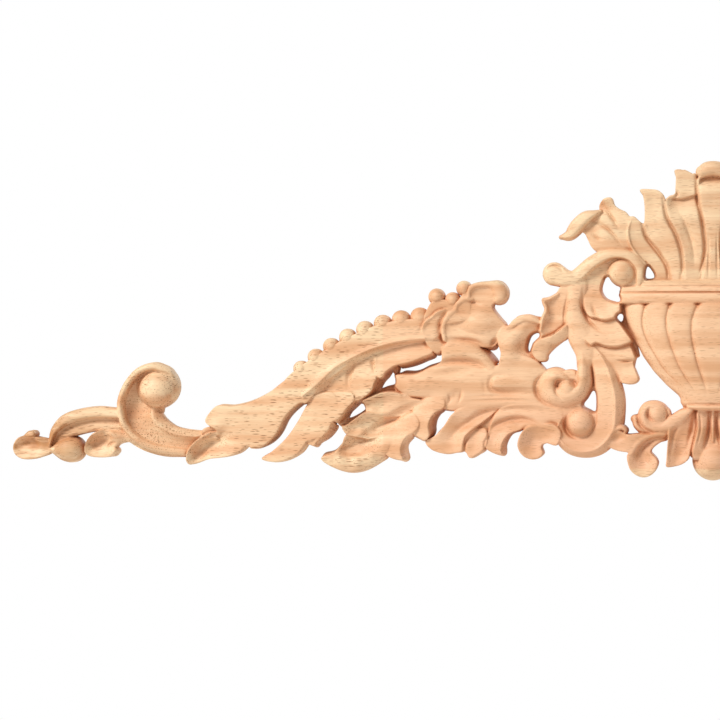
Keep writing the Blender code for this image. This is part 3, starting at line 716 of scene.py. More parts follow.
@dataclass
class TipLeaves(Carving):
    """The leaves at the end of the board: a scooped leaf, an arch over a bud, a hooked leaf."""

    rim: float = 12.6
    arch: float = 16.0
    bud: float = 18.0

    def carve(self) -> None:
        """Carve the leaves behind before the arch that lies over them."""
        rim = self.rim
        # The scooped leaf, with a small curl on its upper edge.
        self.wood.plate(
            [(-470, -91), (-472.5, -84.5), (-477, -83.2), (-482, -82.2), (-488, -81),
             (-494.5, -82.5), (-498, -86.5), (-498.8, -91), (-496.8, -95.2), (-492, -97.9),
             (-485, -98.2), (-479, -96.6), (-473, -94.4)],
            [(-497, -86, rim), (-490, -82, rim), (-480, -84, rim), (-474, -86, rim - 1),
             (-489, -86, 8.2), (-482, -87.3, 9), (-475, -89, 11), (-494, -89.5, 9.8),
             (-487, -91.3, 11.2), (-480, -91.5, 12.4), (-496, -93, 12), (-490, -96.5, rim + 0.6),
             (-483, -96.5, rim + 0.9), (-476, -93.8, rim + 0.8)], draft=1.4)
        self.wood.stroke(
            [(-490.5, -82.2, 1.4, 11.5), (-487, -80.6, 2.7, 13.6), (-484.6, -80.2, 2.4, 14)],
            edge=10.5)
        # The leaf whose scooped face ends in a small curl.
        self.wood.plate(
            [(-446.6, -89.5), (-444.3, -84), (-440, -79.4), (-434, -76.4), (-427, -75),
             (-419, -75), (-410, -79), (-405, -84), (-411, -86.3), (-416, -85.8), (-421.5, -87),
             (-424.2, -89.4), (-423, -91.5), (-424, -94.4), (-428, -96.3), (-436, -96.7),
             (-443.3, -95.7), (-446.4, -93)],
            [(-446, -90, 14), (-443.3, -84.3, 15), (-436, -79.2, 15.3), (-427, -79, 15),
             (-427, -75.5, 9), (-419, -76, 9), (-440.5, -87, 9.2), (-435, -83.8, 9.2),
             (-429.5, -83, 10.6), (-421, -81.5, 14), (-412, -82, 13), (-439, -92.5, 12),
             (-433, -90, 11.5), (-434, -95, 13.6), (-443, -94.6, 13), (-428, -88, 12.5),
             (-420, -86, 11.5), (-413, -85.5, 11)])
        self.wood.groove([(-430, -89.5), (-428.3, -87.2), (-424.6, -86.2)], 1.2, 2)
        self.wood.stroke(
            [(-430, -92.3, 1.4, 12.5), (-427, -93.5, 2.7, 15), (-424.9, -92, 2.3, 15.3)], edge=11,
            trace=1.5)
        self.wood.stroke(
            [(-473, -91, 0.9, 11.8), (-469.5, -91, 4.2, 13.6), (-464.5, -91, 7.8, 16.4),
             (-459.5, -91, 9.4, self.bud), (-456.6, -91, 9.5, self.bud)], edge=6)
        # The arch: a crisp ridge with a hollow band below it.
        self.wood.moulding(
            [(-472, -89.5, 1.6, 13.5), (-470, -86, 3.4, 14.5), (-466.3, -79.5, 6, 15.6),
             (-459.5, -74.3, 8.4, self.arch), (-450, -71, 8.9, self.arch),
             (-438, -69, 8.6, self.arch), (-428, -69, 7.8, 15.6), (-419.5, -69.5, 7.5, 15.2)],
            [(-1, 0.72), (-0.8, 0.77), (-0.45, 0.74), (-0.12, 0.68), (0.04, 0.72), (0.16, 0.93),
             (0.24, 0.985), (0.36, 1), (0.6, 0.97), (0.8, 0.89), (0.93, 0.79), (1, 0.68)],
            square=True)


@dataclass
class CScroll(Carving):
    """The C-scroll: a raised outer rim that curls round a ball, and a hollow channel."""

    rim: float = 16.5
    lip: float = 13.0
    ball: float = 21.5

    def carve(self) -> None:
        """Carve the floor and the channel, the rim over them, and the ball."""
        self.wood.stroke(
            [(-399.5, -45.5, 15, 6.5), (-395, -47, 15, 6.5)], edge=6.2, section=Section.FLAT)
        lip = self.lip
        # The hollow channel, whose inner side is a lip with a bevel outside it.
        self.wood.moulding(
            [(-402.5, -50, 14.6, 9.6), (-407, -62, 16.7, 11), (-406, -71, 16.6, lip - 0.6),
             (-399, -78.6, 14.4, lip), (-387.5, -84.4, 11.8, lip), (-375.5, -86.4, 10, lip),
             (-358, -87.4, 9.4, lip - 0.5)],
            [(-1, 0.7), (-0.8, 0.7), (-0.55, 0.62), (-0.2, 0.6), (0.1, 0.66), (0.35, 0.8),
             (0.52, 0.98), (0.57, 1), (0.62, 0.98), (0.8, 0.78), (1, 0.55)], blend=1, trace=0)
        rim = self.rim
        # The rim from the wing, round the outside and over the ball.
        self.wood.stroke(
            [(-383.6, -37.4, 1.2, 12.5), (-386, -35.2, 2, 13.8), (-390.5, -33.4, 2.7, 15.2),
             (-398, -31.8, 2.9, rim), (-408.5, -36, 2.7, rim), (-417.3, -47, 2.5, rim),
             (-420.9, -60, 2.5, rim), (-417.5, -74, 2.6, rim - 0.4),
             (-405.8, -85.3, 2.6, rim - 1.2), (-390, -91, 2.5, rim - 2.3),
             (-371, -93, 2.4, rim - 3.2)], edge=11.5, draft=1.2, blend=0.3, trace=0)
        self.wood.dent(-389, -36.5, 7, 3, -0.4, -20)
        self.wood.stroke(
            [(-394.4, -46.2, 15.2, 16.2), (-394.2, -46.1, 15.2, 16.2)], edge=7, blend=2, trace=0)
        self.wood.boss(-394.4, -48.4, 12.8, self.ball, blend=5, trace=0)
        self.wood.groove(
            [(-397, -34.5, 1.2, 0.8), (-404.5, -38, 1.6, 2), (-408.3, -46, 1.8, 2),
             (-406.5, -55, 1.4, 1)], floor=7)


@dataclass
class Wing(Carving):
    """The wing: overlapping feathers with flat faces, cut from one sheet."""

    face: float = 14.0
    tip: float = 16.0

    def carve(self) -> None:
        """Carve the feathers from the outermost inwards."""
        self.carve_outer()
        self.carve_long()
        self.carve_inner()

    def carve_outer(self) -> None:
        """Carve the broad outer feather and the hollow tongue under it."""
        face, tip = self.face, self.tip
        self.wood.plate(
            [(-361, -76.2), (-356, -74.5), (-350, -75), (-347, -79), (-356, -82), (-362, -80)],
            [(-355, -78, 12.4)], trace=0)
        self.wood.plate(
            [(-356.5, -78.7), (-351, -77.8), (-359, -71.5), (-357, -65.5), (-350, -59.3),
             (-339, -60), (-327, -57), (-314, -50.5), (-298, -39), (-280, -34), (-276, -42),
             (-285, -56.5), (-291, -57.5), (-297, -62), (-302.5, -68.5), (-307, -77.5),
             (-313, -85), (-320, -89.2), (-326, -90), (-329, -88), (-336, -93.2), (-346, -96.3),
             (-358, -97.8), (-367.5, -101.2), (-371.5, -101.1), (-373, -96.5), (-370.3, -89.5),
             (-364.8, -84)],
            [(-357, -70, face - 0.6), (-350, -63, face), (-335, -64, face + 0.4),
             (-330, -59, face - 0.3), (-315, -56, face), (-300, -45, face + 0.6),
             (-290, -52, face + 1.2), (-280, -38, 11.5), (-303, -68, tip - 0.2),
             (-312, -83, tip - 0.6), (-324, -88, tip - 0.8), (-322, -72, face + 0.6),
             (-340, -73, face), (-350, -76.4, face + 0.6), (-340, -78, face + 0.2),
             (-338, -83, face), (-372, -99, 15), (-371.5, -94, 16), (-368, -88, 16.2),
             (-363, -83.6, 16.2), (-357.5, -79.8, 15.6), (-367, -95, 10.4), (-362.5, -90.3, 8.8),
             (-357, -86, 8.6), (-350.5, -82, 10), (-345, -80.6, 12), (-345, -88, 13),
             (-356, -92, 12.2), (-345, -94.5, 15.2), (-358, -96.8, 14.4), (-332, -90.5, 15.6)],
            draft=1.6)

    def carve_long(self) -> None:
        """Carve the long pointed feather and the blunt one that grows out of it."""
        face, tip = self.face, self.tip
        self.wood.plate(
            [(-318.6, -96.4), (-311, -91.6), (-301, -82.2), (-293, -70.7), (-286.8, -59.5),
             (-281, -52), (-268, -50), (-264, -62), (-270, -75), (-281, -83.5), (-286.5, -85.5),
             (-291.8, -92.6), (-300, -97.6), (-309, -99.6), (-317, -98.6)],
            [(-317, -97, face - 1.5), (-300, -88, face), (-290, -73, face - 0.6),
             (-283, -60, face - 0.8), (-272, -58, face - 0.4), (-275, -72, face),
             (-286, -84, tip - 0.8), (-296, -95, face + 0.8), (-308, -97.5, face)], draft=1.6)
        self.wood.plate(
            [(-286.3, -85.6), (-290, -70), (-284, -57), (-272, -50), (-255, -50), (-252.3, -55.6),
             (-257.6, -61.3), (-263.8, -69.3), (-268, -71), (-270.5, -76), (-274.5, -81),
             (-279.3, -85.3), (-280.8, -88.2), (-284, -87.3)],
            [(-283, -86, face + 0.3), (-276, -80, tip - 0.6), (-268, -69, tip - 0.5),
             (-256, -57, tip - 0.4), (-268, -55, face - 0.6), (-282, -63, face - 0.8)], draft=4,
            blend=1.6, trace=0)

    def carve_inner(self) -> None:
        """Carve the two inner feathers, which start low under the ridge."""
        face, tip = self.face, self.tip
        self.wood.plate(
            [(-271, -44), (-268.5, -38.5), (-263, -36), (-255, -29), (-250, -27), (-238, -22),
             (-236.5, -38.5), (-238, -43), (-240, -48.5), (-245, -53.6), (-251, -56), (-262, -55),
             (-272, -50)],
            [(-268, -42, 11.6), (-255, -33, 11.8), (-243, -27, 12), (-262, -48, 12.2),
             (-250, -52, face + 0.4), (-240, -45, tip - 0.6), (-237.5, -38, tip - 1),
             (-244, -36, 13.4)], draft=3.6, blend=0.4)
        self.wood.groove([(-252, -29, 2, 1.6), (-256.5, -37, 2.4, 2), (-257, -48, 1.6, 0.8)])
        self.wood.plate(
            [(-240, -23), (-230, -18), (-215, -15.5), (-200, -15.5), (-197, -21.7), (-203, -24.7),
             (-212, -28.3), (-223, -31), (-230, -35.5), (-232, -39.3), (-236.5, -38.5)],
            [(-235, -24, 12), (-215, -18, 12), (-203, -18, 12.4), (-200, -22, face),
             (-215, -27, tip - 1), (-230, -35.5, tip - 1), (-222, -24, 13)], draft=2.4, trace=1.4)
        self.wood.groove([(-240, -24, 1.5, 1.2), (-239.3, -31, 1.8, 1.6), (-237.5, -37, 1.4, 1.2)])


@dataclass
class WingCrest(Carving):
    """The top of the wing: the band that carries the beads and the ridge below it."""

    band: float = 15.2
    ridge: float = 17.2

    def carve(self) -> None:
        """Carve the band, then the ridge, whose lower side falls steeply to the feathers."""
        ridge = self.ridge
        self.wood.stroke(
            [(-304, -51, 4, 13.8), (-294, -43.5, 7.6, 14.6), (-276, -33, 9.5, self.band),
             (-257, -20.5, 8.3, self.band), (-237, -11, 8, self.band),
             (-218, -6.3, 7.6, self.band), (-198, -5.5, 7.5, self.band)], edge=14.2,
            section=Section.FLAT, blend=2, trace=0)
        share = [(-1, 0.52), (-0.9, 0.53), (0.0, 0.93), (0.06, 0.99), (0.14, 1.0),
                 (0.35, 0.96), (0.7, 0.86), (1, 0.8)]
        self.wood.moulding(
            [(-284.2, -49.6, 6, 16.6), (-281.2, -47.3, 8.2, ridge), (-275.5, -42.5, 9.4, ridge),
             (-266, -33.5, 8.2, ridge), (-255, -27, 6.8, ridge), (-240, -20, 5.8, ridge),
             (-225, -15.3, 5, ridge), (-212, -13.2, 4.5, ridge - 0.4), (-205, -12.7, 3.8, 16.2)],
            share, blend=1, trace=0)


@dataclass
class Fern(Carving):
    """The fern under the wing: five lobes about a deep midrib."""

    rim: float = 15.5
    rib: float = 10.2
    web: float = 5.5

    def carve(self) -> None:
        """Carve the lobes from the lowest to the one that lies over the others."""
        # The low web that joins the fern to the wing.
        self.wood.plate(
            [(-267.5, -68), (-258, -58), (-250, -50), (-242, -42), (-238, -35), (-230, -31),
             (-223.5, -28.5), (-221.5, -33), (-222.5, -38), (-220, -44), (-226, -56), (-240, -62),
             (-250, -70), (-255, -75.5), (-261.4, -75), (-265.2, -72.2)],
            [(-245, -58, self.web)], trace=0)
        rim, rib = self.rim, self.rib
        # The lowest lobe, a hollow leaf with a broad rounded lip.
        self.wood.plate(
            [(-257.7, -80), (-261.5, -86.5), (-265.8, -91.8), (-270, -94.3), (-274.6, -95.3),
             (-276.3, -97.4), (-272.6, -100.8), (-264, -104.8), (-255, -106.4), (-246, -104.6),
             (-237, -99.6), (-230, -94), (-225, -84), (-215, -70), (-230, -72), (-245, -80)],
            [(-275, -97.3, 13.5), (-268, -95.3, 14), (-263.5, -90, 13.6), (-258.6, -83, 13.6),
             (-259, -91, 10), (-252, -88, 9.2), (-244, -86, rib), (-238, -80, rib + 0.6),
             (-250, -93.5, 11.6), (-240, -89, 12.5), (-262, -97.3, rim), (-250, -97.5, rim + 0.5),
             (-240, -94, rim + 0.5), (-233, -88, rim), (-256, -102.5, 14), (-246, -101.5, 14.2),
             (-236, -97.3, 14.2), (-226, -76, 12), (-266, -102, 13.4)], draft=1.4)
        self.carve_side()
        self.carve_right()
        self.wood.flute([(-262, -91, 2, 0.2), (-250, -84.5, 3.5, 1.2), (-236, -75.5, 5, 2.4),
                         (-222, -66, 5, 2.4), (-210, -59.5, 3.5, 1), (-203, -57, 2, 0.2)], floor=7)

    def carve_side(self) -> None:
        """Carve the two upper lobes, each with a thin rim along its upper edge."""
        rib = self.rib
        self.wood.plate(
            [(-247.8, -56.9), (-240, -52.8), (-232, -49.9), (-222, -50), (-212, -53.5),
             (-202, -56), (-200, -60), (-215, -66), (-228, -68), (-236, -66), (-243.8, -63.8),
             (-245.3, -61)],
            [(-247, -57.4, 16), (-240, -53.8, 16.2), (-232, -51, 16.2), (-222, -51, 15.2),
             (-243, -60.5, 12.4), (-235, -58.6, 11.8), (-228, -56.4, 12.6), (-220, -56, 13.6),
             (-240, -63.2, 14), (-230, -64.4, 13), (-218, -61, 12), (-208, -58, 12.8)])
        self.wood.plate(
            [(-244.8, -64.2), (-252, -68.8), (-259, -73.6), (-261.5, -74), (-258, -79.8),
             (-250, -82), (-240, -83), (-228, -78), (-216, -68), (-228, -64.5), (-236, -64.6)],
            [(-260.5, -74.6, 15.8), (-252, -70, 16), (-245, -65.6, 15.8), (-236, -66, 14.6),
             (-253, -74.5, 12.2), (-245, -71.6, 11.8), (-236, -70.4, rib + 0.8), (-256, -79, 14.4),
             (-248, -79.8, 14.2), (-240, -79, 12.2), (-228, -70, rib), (-226, -75, rib)],
            rounding=0.7, blend=1.6, trace=0)

    def carve_right(self) -> None:
        """Carve the two lobes on the right, with notches between them."""
        rim = self.rim
        self.wood.plate(
            [(-231.5, -84.5), (-233, -89), (-229.8, -94), (-226, -96.5), (-221, -97.5),
             (-217.6, -97.3), (-219, -94), (-219.3, -90), (-217.8, -85), (-214.3, -80.5),
             (-210, -78.5), (-206, -72), (-212, -64), (-225, -72)],
            [(-231, -87, 14), (-227, -94, 15.4), (-221, -95.5, rim + 0.5), (-219.5, -88, 16.4),
             (-214, -79.5, 16.4), (-212, -68, 14), (-223, -76, 13), (-225, -86, 14.8)], draft=3.8,
            trace=2.2)
        self.wood.plate(
            [(-211.5, -69.5), (-213, -74), (-211.5, -78.5), (-206, -82.2), (-201.8, -83.8),
             (-199, -80), (-199.7, -74), (-198, -68), (-194, -63.5), (-188, -60), (-190, -53),
             (-202, -54.5), (-210, -58)],
            [(-211, -74, 14.4), (-204, -81.5, 15.6), (-200.3, -74, 16.6), (-196, -65, 16.4),
             (-190, -57, 15), (-200, -57, 14), (-208, -63, 13.2), (-206, -72, 15)], draft=4.2,
            trace=2.2)


@dataclass
class Acanthus(Carving):
    """The broad acanthus leaf: a body of soft folds with scalloped lobes along its foot."""

    body: float = 13.4
    rim: float = 15.8

    def carve(self) -> None:
        """Carve the body, its folds, then the scallops."""
        self.carve_body()
        self.carve_folds()
        self.carve_scallops()

    def carve_body(self) -> None:
        """Carve the sheet of the leaf, from the finger on the left to the volutes."""
        body, rim = self.body, self.rim
        self.wood.plate(
            [(-223, -44), (-200, -47), (-196, -60), (-216, -59), (-222, -52)],
            [(-210, -52, 9.5)], trace=0)
        self.wood.plate(
            [(-177, -63.5), (-120, -56), (-108, -64), (-110, -76), (-134, -76), (-146, -77),
             (-158, -77), (-173, -80), (-184, -78), (-182.5, -71)],
            [(-160, -68, 11.4)], trace=0)
        self.wood.plate(
            [(-224.3, -38), (-210, -37.3), (-200, -33), (-191, -28), (-190, -18), (-180, -11),
             (-168, -13), (-163, -18.5), (-160, -26), (-155, -30.5), (-150.5, -30.5), (-148, -25),
             (-138, -23), (-126, -26), (-118, -33), (-108, -45), (-97, -58), (-98, -68),
             (-112, -72), (-130, -68), (-150, -62), (-175, -64), (-190, -61), (-198, -56),
             (-205, -54.3), (-215, -52.5), (-221, -49), (-224.2, -44)],
            [(-223, -41, 13.6), (-212, -45, rim), (-210, -38.5, 13.4), (-195, -32, 14),
             (-214, -51, 13.4), (-200, -46, rim - 0.3), (-200, -53, 13), (-182, -45, body + 0.8),
             (-180, -36, body), (-175, -19, 14), (-165, -25, 14), (-150, -33, 14.2),
             (-138, -25, 12.6), (-160, -45, body), (-130, -35, 13.8), (-120, -42, 12.5),
             (-108, -58, 12.5), (-130, -56, body), (-150, -56, body), (-170, -55, body),
             (-190, -57, 13.8), (-118, -64, 12.6), (-102, -64, 12), (-140, -46, body)], draft=1.6)

    def carve_folds(self) -> None:
        """Carve the folds: an upper swelling, the long valley, a rounded finger and ribs."""
        self.wood.stroke(
            [(-184, -20, 6.5, 14.5), (-173, -20, 6.8, 16), (-164, -24, 5, 15.6),
             (-156, -31, 3.5, 14.6)], edge=11.5, blend=2.5, trace=0)
        self.wood.groove(
            [(-203, -35.5, 2, 1.2), (-190, -29.5, 3, 2.6), (-178, -27.5, 3.2, 3.2),
             (-166, -29.5, 3, 2.8), (-157, -34.5, 2.5, 1.8)], floor=8)
        self.wood.dent(-186, -36, 14, 3.4, 1.6, 6)
        self.wood.stroke(
            [(-151.5, -43, 4, 14.9), (-145, -42.3, 4.3, 15.3), (-138, -43.3, 3.6, 14.9),
             (-131, -44.6, 2.4, 13.8), (-124, -45.6, 1.2, 12.6)], edge=12.8, blend=2.4, trace=0)
        self.wood.groove(
            [(-146, -36.8, 1.5, 0.7), (-153.5, -38.2, 1.9, 1.1), (-156.8, -43, 2.2, 1.5),
             (-155, -48, 2.2, 1.9), (-147, -49.8, 2.4, 2.4), (-136, -50, 2.4, 2.2),
             (-122, -51, 2, 1.2)], floor=7)
        self.wood.groove([(-160, -40, 1.6, 0.5), (-160.5, -46, 1.8, 0.7), (-158.5, -52, 1.6, 0.5)])
        for low, high in ((-52.6, 0.0), (-55.6, -0.5)):
            self.wood.groove([(-172, low + high, 0.9, 0.4), (-158, low, 1, 0.8),
                              (-140, low + 0.4, 1, 0.8), (-124, low - 0.6, 0.9, 0.5)])
        self.wood.dent(-181.5, -53, 5.5, 3.4, 1.4, 40)
        self.wood.groove([(-176.6, -48, 1.1, 0.8), (-177, -53, 1.3, 1.4), (-179, -58, 1.2, 0.8)])
        self.wood.groove([(-186, -50, 1, 0.6), (-184.5, -55, 1.1, 0.9), (-186.5, -59, 1, 0.6)])
        self.wood.groove([(-222, -49.5, 0.9, 0.8), (-214, -53.6, 1.2, 2), (-200, -54, 1.1, 1.4)])

    def carve_scallops(self) -> None:
        """Carve four scallops, each under its right neighbour's hollow left side."""
        rim = self.rim
        self.wood.plate(
            [(-202, -84.6), (-197.5, -90.5), (-188, -93.4), (-181, -92.7), (-174.8, -90.8),
             (-173.5, -81), (-160, -70), (-150, -60), (-165, -58), (-181, -63.5), (-189, -74),
             (-195, -80.5)],
            [(-200.5, -85, 14), (-190, -91.5, 15), (-178, -90, rim), (-175, -80, rim),
             (-189, -84, 13.4), (-178, -74, 13), (-165, -64.5, 13), (-184, -67.5, 15.4),
             (-193, -79.5, 14.8), (-182, -84, 12.6), (-172, -68, 13.6)], draft=1.8)
        self.wood.plate(
            [(-173.5, -81), (-175.3, -86), (-175, -91), (-173, -92.5), (-171.3, -95.5),
             (-169.5, -96.2), (-166, -94.2), (-159.7, -89.2), (-158, -80), (-160, -75),
             (-167.5, -75.5)],
            [(-174, -88, 14.6), (-170, -94.5, 15.4), (-162, -88.5, rim), (-159, -80, rim - 0.6),
             (-166, -86, 13.6), (-167, -77.5, 12.6), (-161, -76, 12.8)], draft=1.6, blend=1.8,
            trace=0.7)
        self.wood.groove([(-170.5, -80, 1, 0.6), (-174.2, -86, 1.2, 1.8), (-174.4, -93, 1.2, 2.4)])
        self.wood.plate(
            [(-158, -78), (-160.4, -82), (-160, -88.4), (-156, -91.7), (-151, -93.7),
             (-147.8, -93.3), (-148.4, -91), (-147.9, -87), (-145.5, -82), (-142, -78.7),
             (-135.5, -76.6), (-124, -74), (-110, -76), (-106, -62), (-130, -58), (-150, -62)],
            [(-159.3, -86, 14.6), (-151, -92.5, 15), (-148.5, -86, 16.6), (-141, -79, 16.4),
             (-154, -84, 13.4), (-148, -76, 12.8), (-138, -72, 12.6), (-138, -64, 13.6),
             (-150, -66, 13.4), (-120, -65, 13.2), (-115, -72, 14), (-128, -75, 15),
             (-104, -66, 12)], draft=3.6, blend=1.8, trace=0.7)
        self.wood.groove([(-155, -78.5, 1, 0.6), (-159.3, -84, 1.2, 1.8), (-160, -91, 1.2, 2.4)])
        self.wood.plate(
            [(-134.5, -79), (-136.8, -86), (-135.5, -91.4), (-132, -95.3), (-127, -97.1),
             (-122.5, -96.4), (-118.8, -93), (-120, -89), (-119.3, -86.8), (-116, -85.8),
             (-109, -87), (-106, -78), (-112, -72), (-122, -73), (-130, -74.5)],
            [(-136, -86, 16), (-133.5, -80.5, 16), (-128, -76.5, 14.6), (-114, -75, 14.6),
             (-134, -92, 15.6), (-127, -87, 11.6), (-122, -82, 11.8), (-116, -80, 12.4),
             (-127, -96, 14.6), (-120.5, -92, 14.2), (-110, -84, 14.5)], draft=1.4, trace=1.8)
        self.wood.groove(
            [(-186, -83, 2, 0.8), (-176, -74.5, 3, 2.4), (-163, -66, 3.4, 3),
             (-150, -62.6, 3.2, 2.6), (-132, -61.8, 3, 2.2), (-112, -63, 2.5, 1.4)], floor=8)
        self.wood.groove(
            [(-158.5, -79, 1.6, 1), (-151, -72.5, 2.4, 2.4), (-140, -69, 2.6, 2.4),
             (-128, -70, 2.4, 2.2), (-118, -75, 2, 1.6)], floor=8)


@dataclass
class ShellCluster(Carving):
    """The shell at the top of the wing: a hollow fan with scalloped rims, and a small leaf."""

    rim: float = 17.2
    hollow: float = 13.2

    def carve(self) -> None:
        """Carve the small leaf and the bead floor, the fan, then its rims."""
        self.carve_small_leaf()
        self.carve_fan()
        self.carve_rims()

    def carve_small_leaf(self) -> None:
        """Carve the leaf on the left, which ends the wing's bead row."""
        self.wood.plate(
            [(-203, 1), (-200, 10), (-196, 15), (-188, 15.5), (-180, 14.5), (-174, 21), (-170, 20),
             (-172, 2), (-192, -2)],
            [(-197, 9, 15.2), (-188, 11, 15.2), (-180, 12, 15.2), (-173, 18, 15.2)], blend=1.5,
            trace=0)
        self.wood.plate(
            [(-202.8, -13), (-204, -9), (-204.3, -4), (-202, 0.5), (-197.5, 3.5), (-194, 7),
             (-188.5, 8.8), (-184, 7), (-186, -4), (-188, -14), (-192, -22), (-198, -20)],
            [(-202.5, -12, 14.5), (-203.3, -5, 16), (-200, 1, 16.8), (-192, 7, 17),
             (-198.5, -5, 13.4), (-193, 1, 13), (-192, -9, 12), (-198, -15, 14),
             (-192, -17, 12.8)], trace=1)
        self.wood.groove(
            [(-187, 7.8, 1.2, 1.4), (-190.5, 1, 2.2, 1.7), (-191.8, -7, 2.2, 1.7),
             (-190, -14, 1.6, 1.2)], floor=7)

    def carve_fan(self) -> None:
        """Carve the fan's hollow face and the folds that run into it."""
        hollow = self.hollow
        self.wood.plate(
            [(-189, -14), (-190.5, -5), (-188, 3), (-183.5, 7.5), (-181, 9), (-179.5, 14),
             (-174, 16.5), (-172.5, 20), (-171, 25), (-166, 27.3), (-158, 27.8), (-152, 28.6),
             (-147.7, 27.3), (-144.2, 23), (-144, 18), (-146.3, 14), (-150, 12.4), (-153.7, 12.7),
             (-154.2, 9), (-149, 2), (-145, -3), (-148, -10), (-154, -17.5), (-163, -18),
             (-172, -15), (-180, -14)],
            [(-189, -10, 14.5), (-188, 0, 15), (-182, 7, 15), (-172, 18, 15), (-165, 25, 15),
             (-150, 26, 15), (-183, -3, hollow + 0.4), (-176, 4, hollow + 0.6),
             (-166, 20, hollow + 0.8), (-158, 22.5, hollow + 0.9), (-153, 18, hollow + 1.6),
             (-157, 13, hollow + 1.2), (-170, 12, hollow + 1.4), (-164, 8, 15.2), (-168, -1, 16.4),
             (-158, -1, 16), (-178, -9, 14), (-163, -12, 14.4), (-156, -8, 14.4), (-150, 0, 13.4),
             (-148, -6, 12.8), (-155, 5, 14.4)], draft=1.6, trace=1.6)
        self.wood.groove([(-182, 7.2, 1.4, 0.7), (-175, 5.5, 2, 0.9), (-166, 2.5, 1.6, 0.4)])
        self.wood.groove([(-173, 16, 1.6, 1.8), (-168, 13.5, 2, 2), (-161, 11.5, 1.6, 0.8)])
        self.wood.groove(
            [(-189, -12.5, 1.6, 1), (-178, -12.8, 2, 2.2), (-168, -13.8, 2.2, 2.4),
             (-160, -17, 1.8, 1.6)], floor=8)
        self.wood.groove([(-180, -5, 1.4, 0.8), (-168, -8.5, 1.8, 1.3), (-158, -11, 1.4, 0.8)])

    def carve_rims(self) -> None:
        """Carve the raised rim of each scallop and the curl that ends the topmost."""
        rim = self.rim
        self.wood.stroke(
            [(-188.2, -12.5, 1.4, 14.6), (-189.4, -6, 1.9, 15.5), (-188.4, 0, 2, 15.8),
             (-184.5, 5.5, 2, 15.7), (-180, 8, 1.5, 15)], edge=13.4, blend=2.4, trace=0.3)
        self.wood.stroke(
            [(-180.5, 8.8, 1.4, 15.6), (-179, 12.6, 1.8, 16.1), (-174.5, 15.4, 1.8, 16.1),
             (-169, 15.6, 1.4, 15)], edge=13.6, blend=2.4, trace=0.3)
        self.wood.stroke(
            [(-171.5, 17.5, 1.3, 15.2), (-170.2, 23, 2, rim - 0.8), (-165, 25.7, 2, rim - 0.8),
             (-157.5, 26.2, 2.2, rim - 0.6), (-151.8, 24.6, 4.2, rim), (-149.6, 20.8, 4.9, rim),
             (-149.4, 17.6, 4.4, rim - 0.4), (-151.5, 14.6, 2.2, 15.4)], edge=13.4, blend=2.4,
            trace=0.4)
        self.wood.dent(-153.6, -14.5, 3, 1.8, 2.6, 60)


@dataclass
class Curls(Carving):
    """The curl beside the stem: a rounded crescent that turns over a hole."""

    crest: float = 16.0

    def carve(self) -> None:
        """Carve the crescent, then the rim that follows its top."""
        crest = self.crest
        self.wood.plate(
            [(-151, -9), (-147, -3.4), (-142, -2.6), (-139.5, 1), (-136, 4.1), (-130, 5),
             (-124, 3.8), (-119, 2.2), (-117, -6), (-121, -12), (-125, -20), (-121, -26),
             (-124, -31), (-128, -36), (-140, -40), (-152, -36), (-150, -29), (-148.7, -22),
             (-151, -15)],
            [(-147, -8, 14), (-149.5, -14, 13.6), (-142, -16, 15.2), (-146, -30, 14.4),
             (-139, -3, 13.8), (-134, 2, 13.8), (-124, 0, 12.6), (-133, -5, 15.4),
             (-128, -6.5, 13), (-137.5, -10, 15.2), (-133, -15, 11), (-139, -22, 14.2),
             (-133, -24, 11.4), (-130, -31, 12.2), (-122, -8, 10.5), (-127, -14, 10),
             (-124, -24, 10), (-120, -28, 11), (-128, -36, 11), (-134, -38.5, 11),
             (-141, -39.5, 11), (-151, -36, 12)], draft=1.4, blend=2.4, trace=0)
        self.wood.stroke(
            [(-144.5, -4.8, 1, 14), (-141.2, -3.2, 1.8, 15), (-137.6, 0, 2.3, crest - 0.3),
             (-131.6, 2.6, 2.4, crest - 0.2), (-125.5, 1.8, 2.3, crest - 0.3),
             (-121.5, -0.4, 1.6, 14.6)], edge=14, section=Section.FULL, blend=2.4, trace=0)


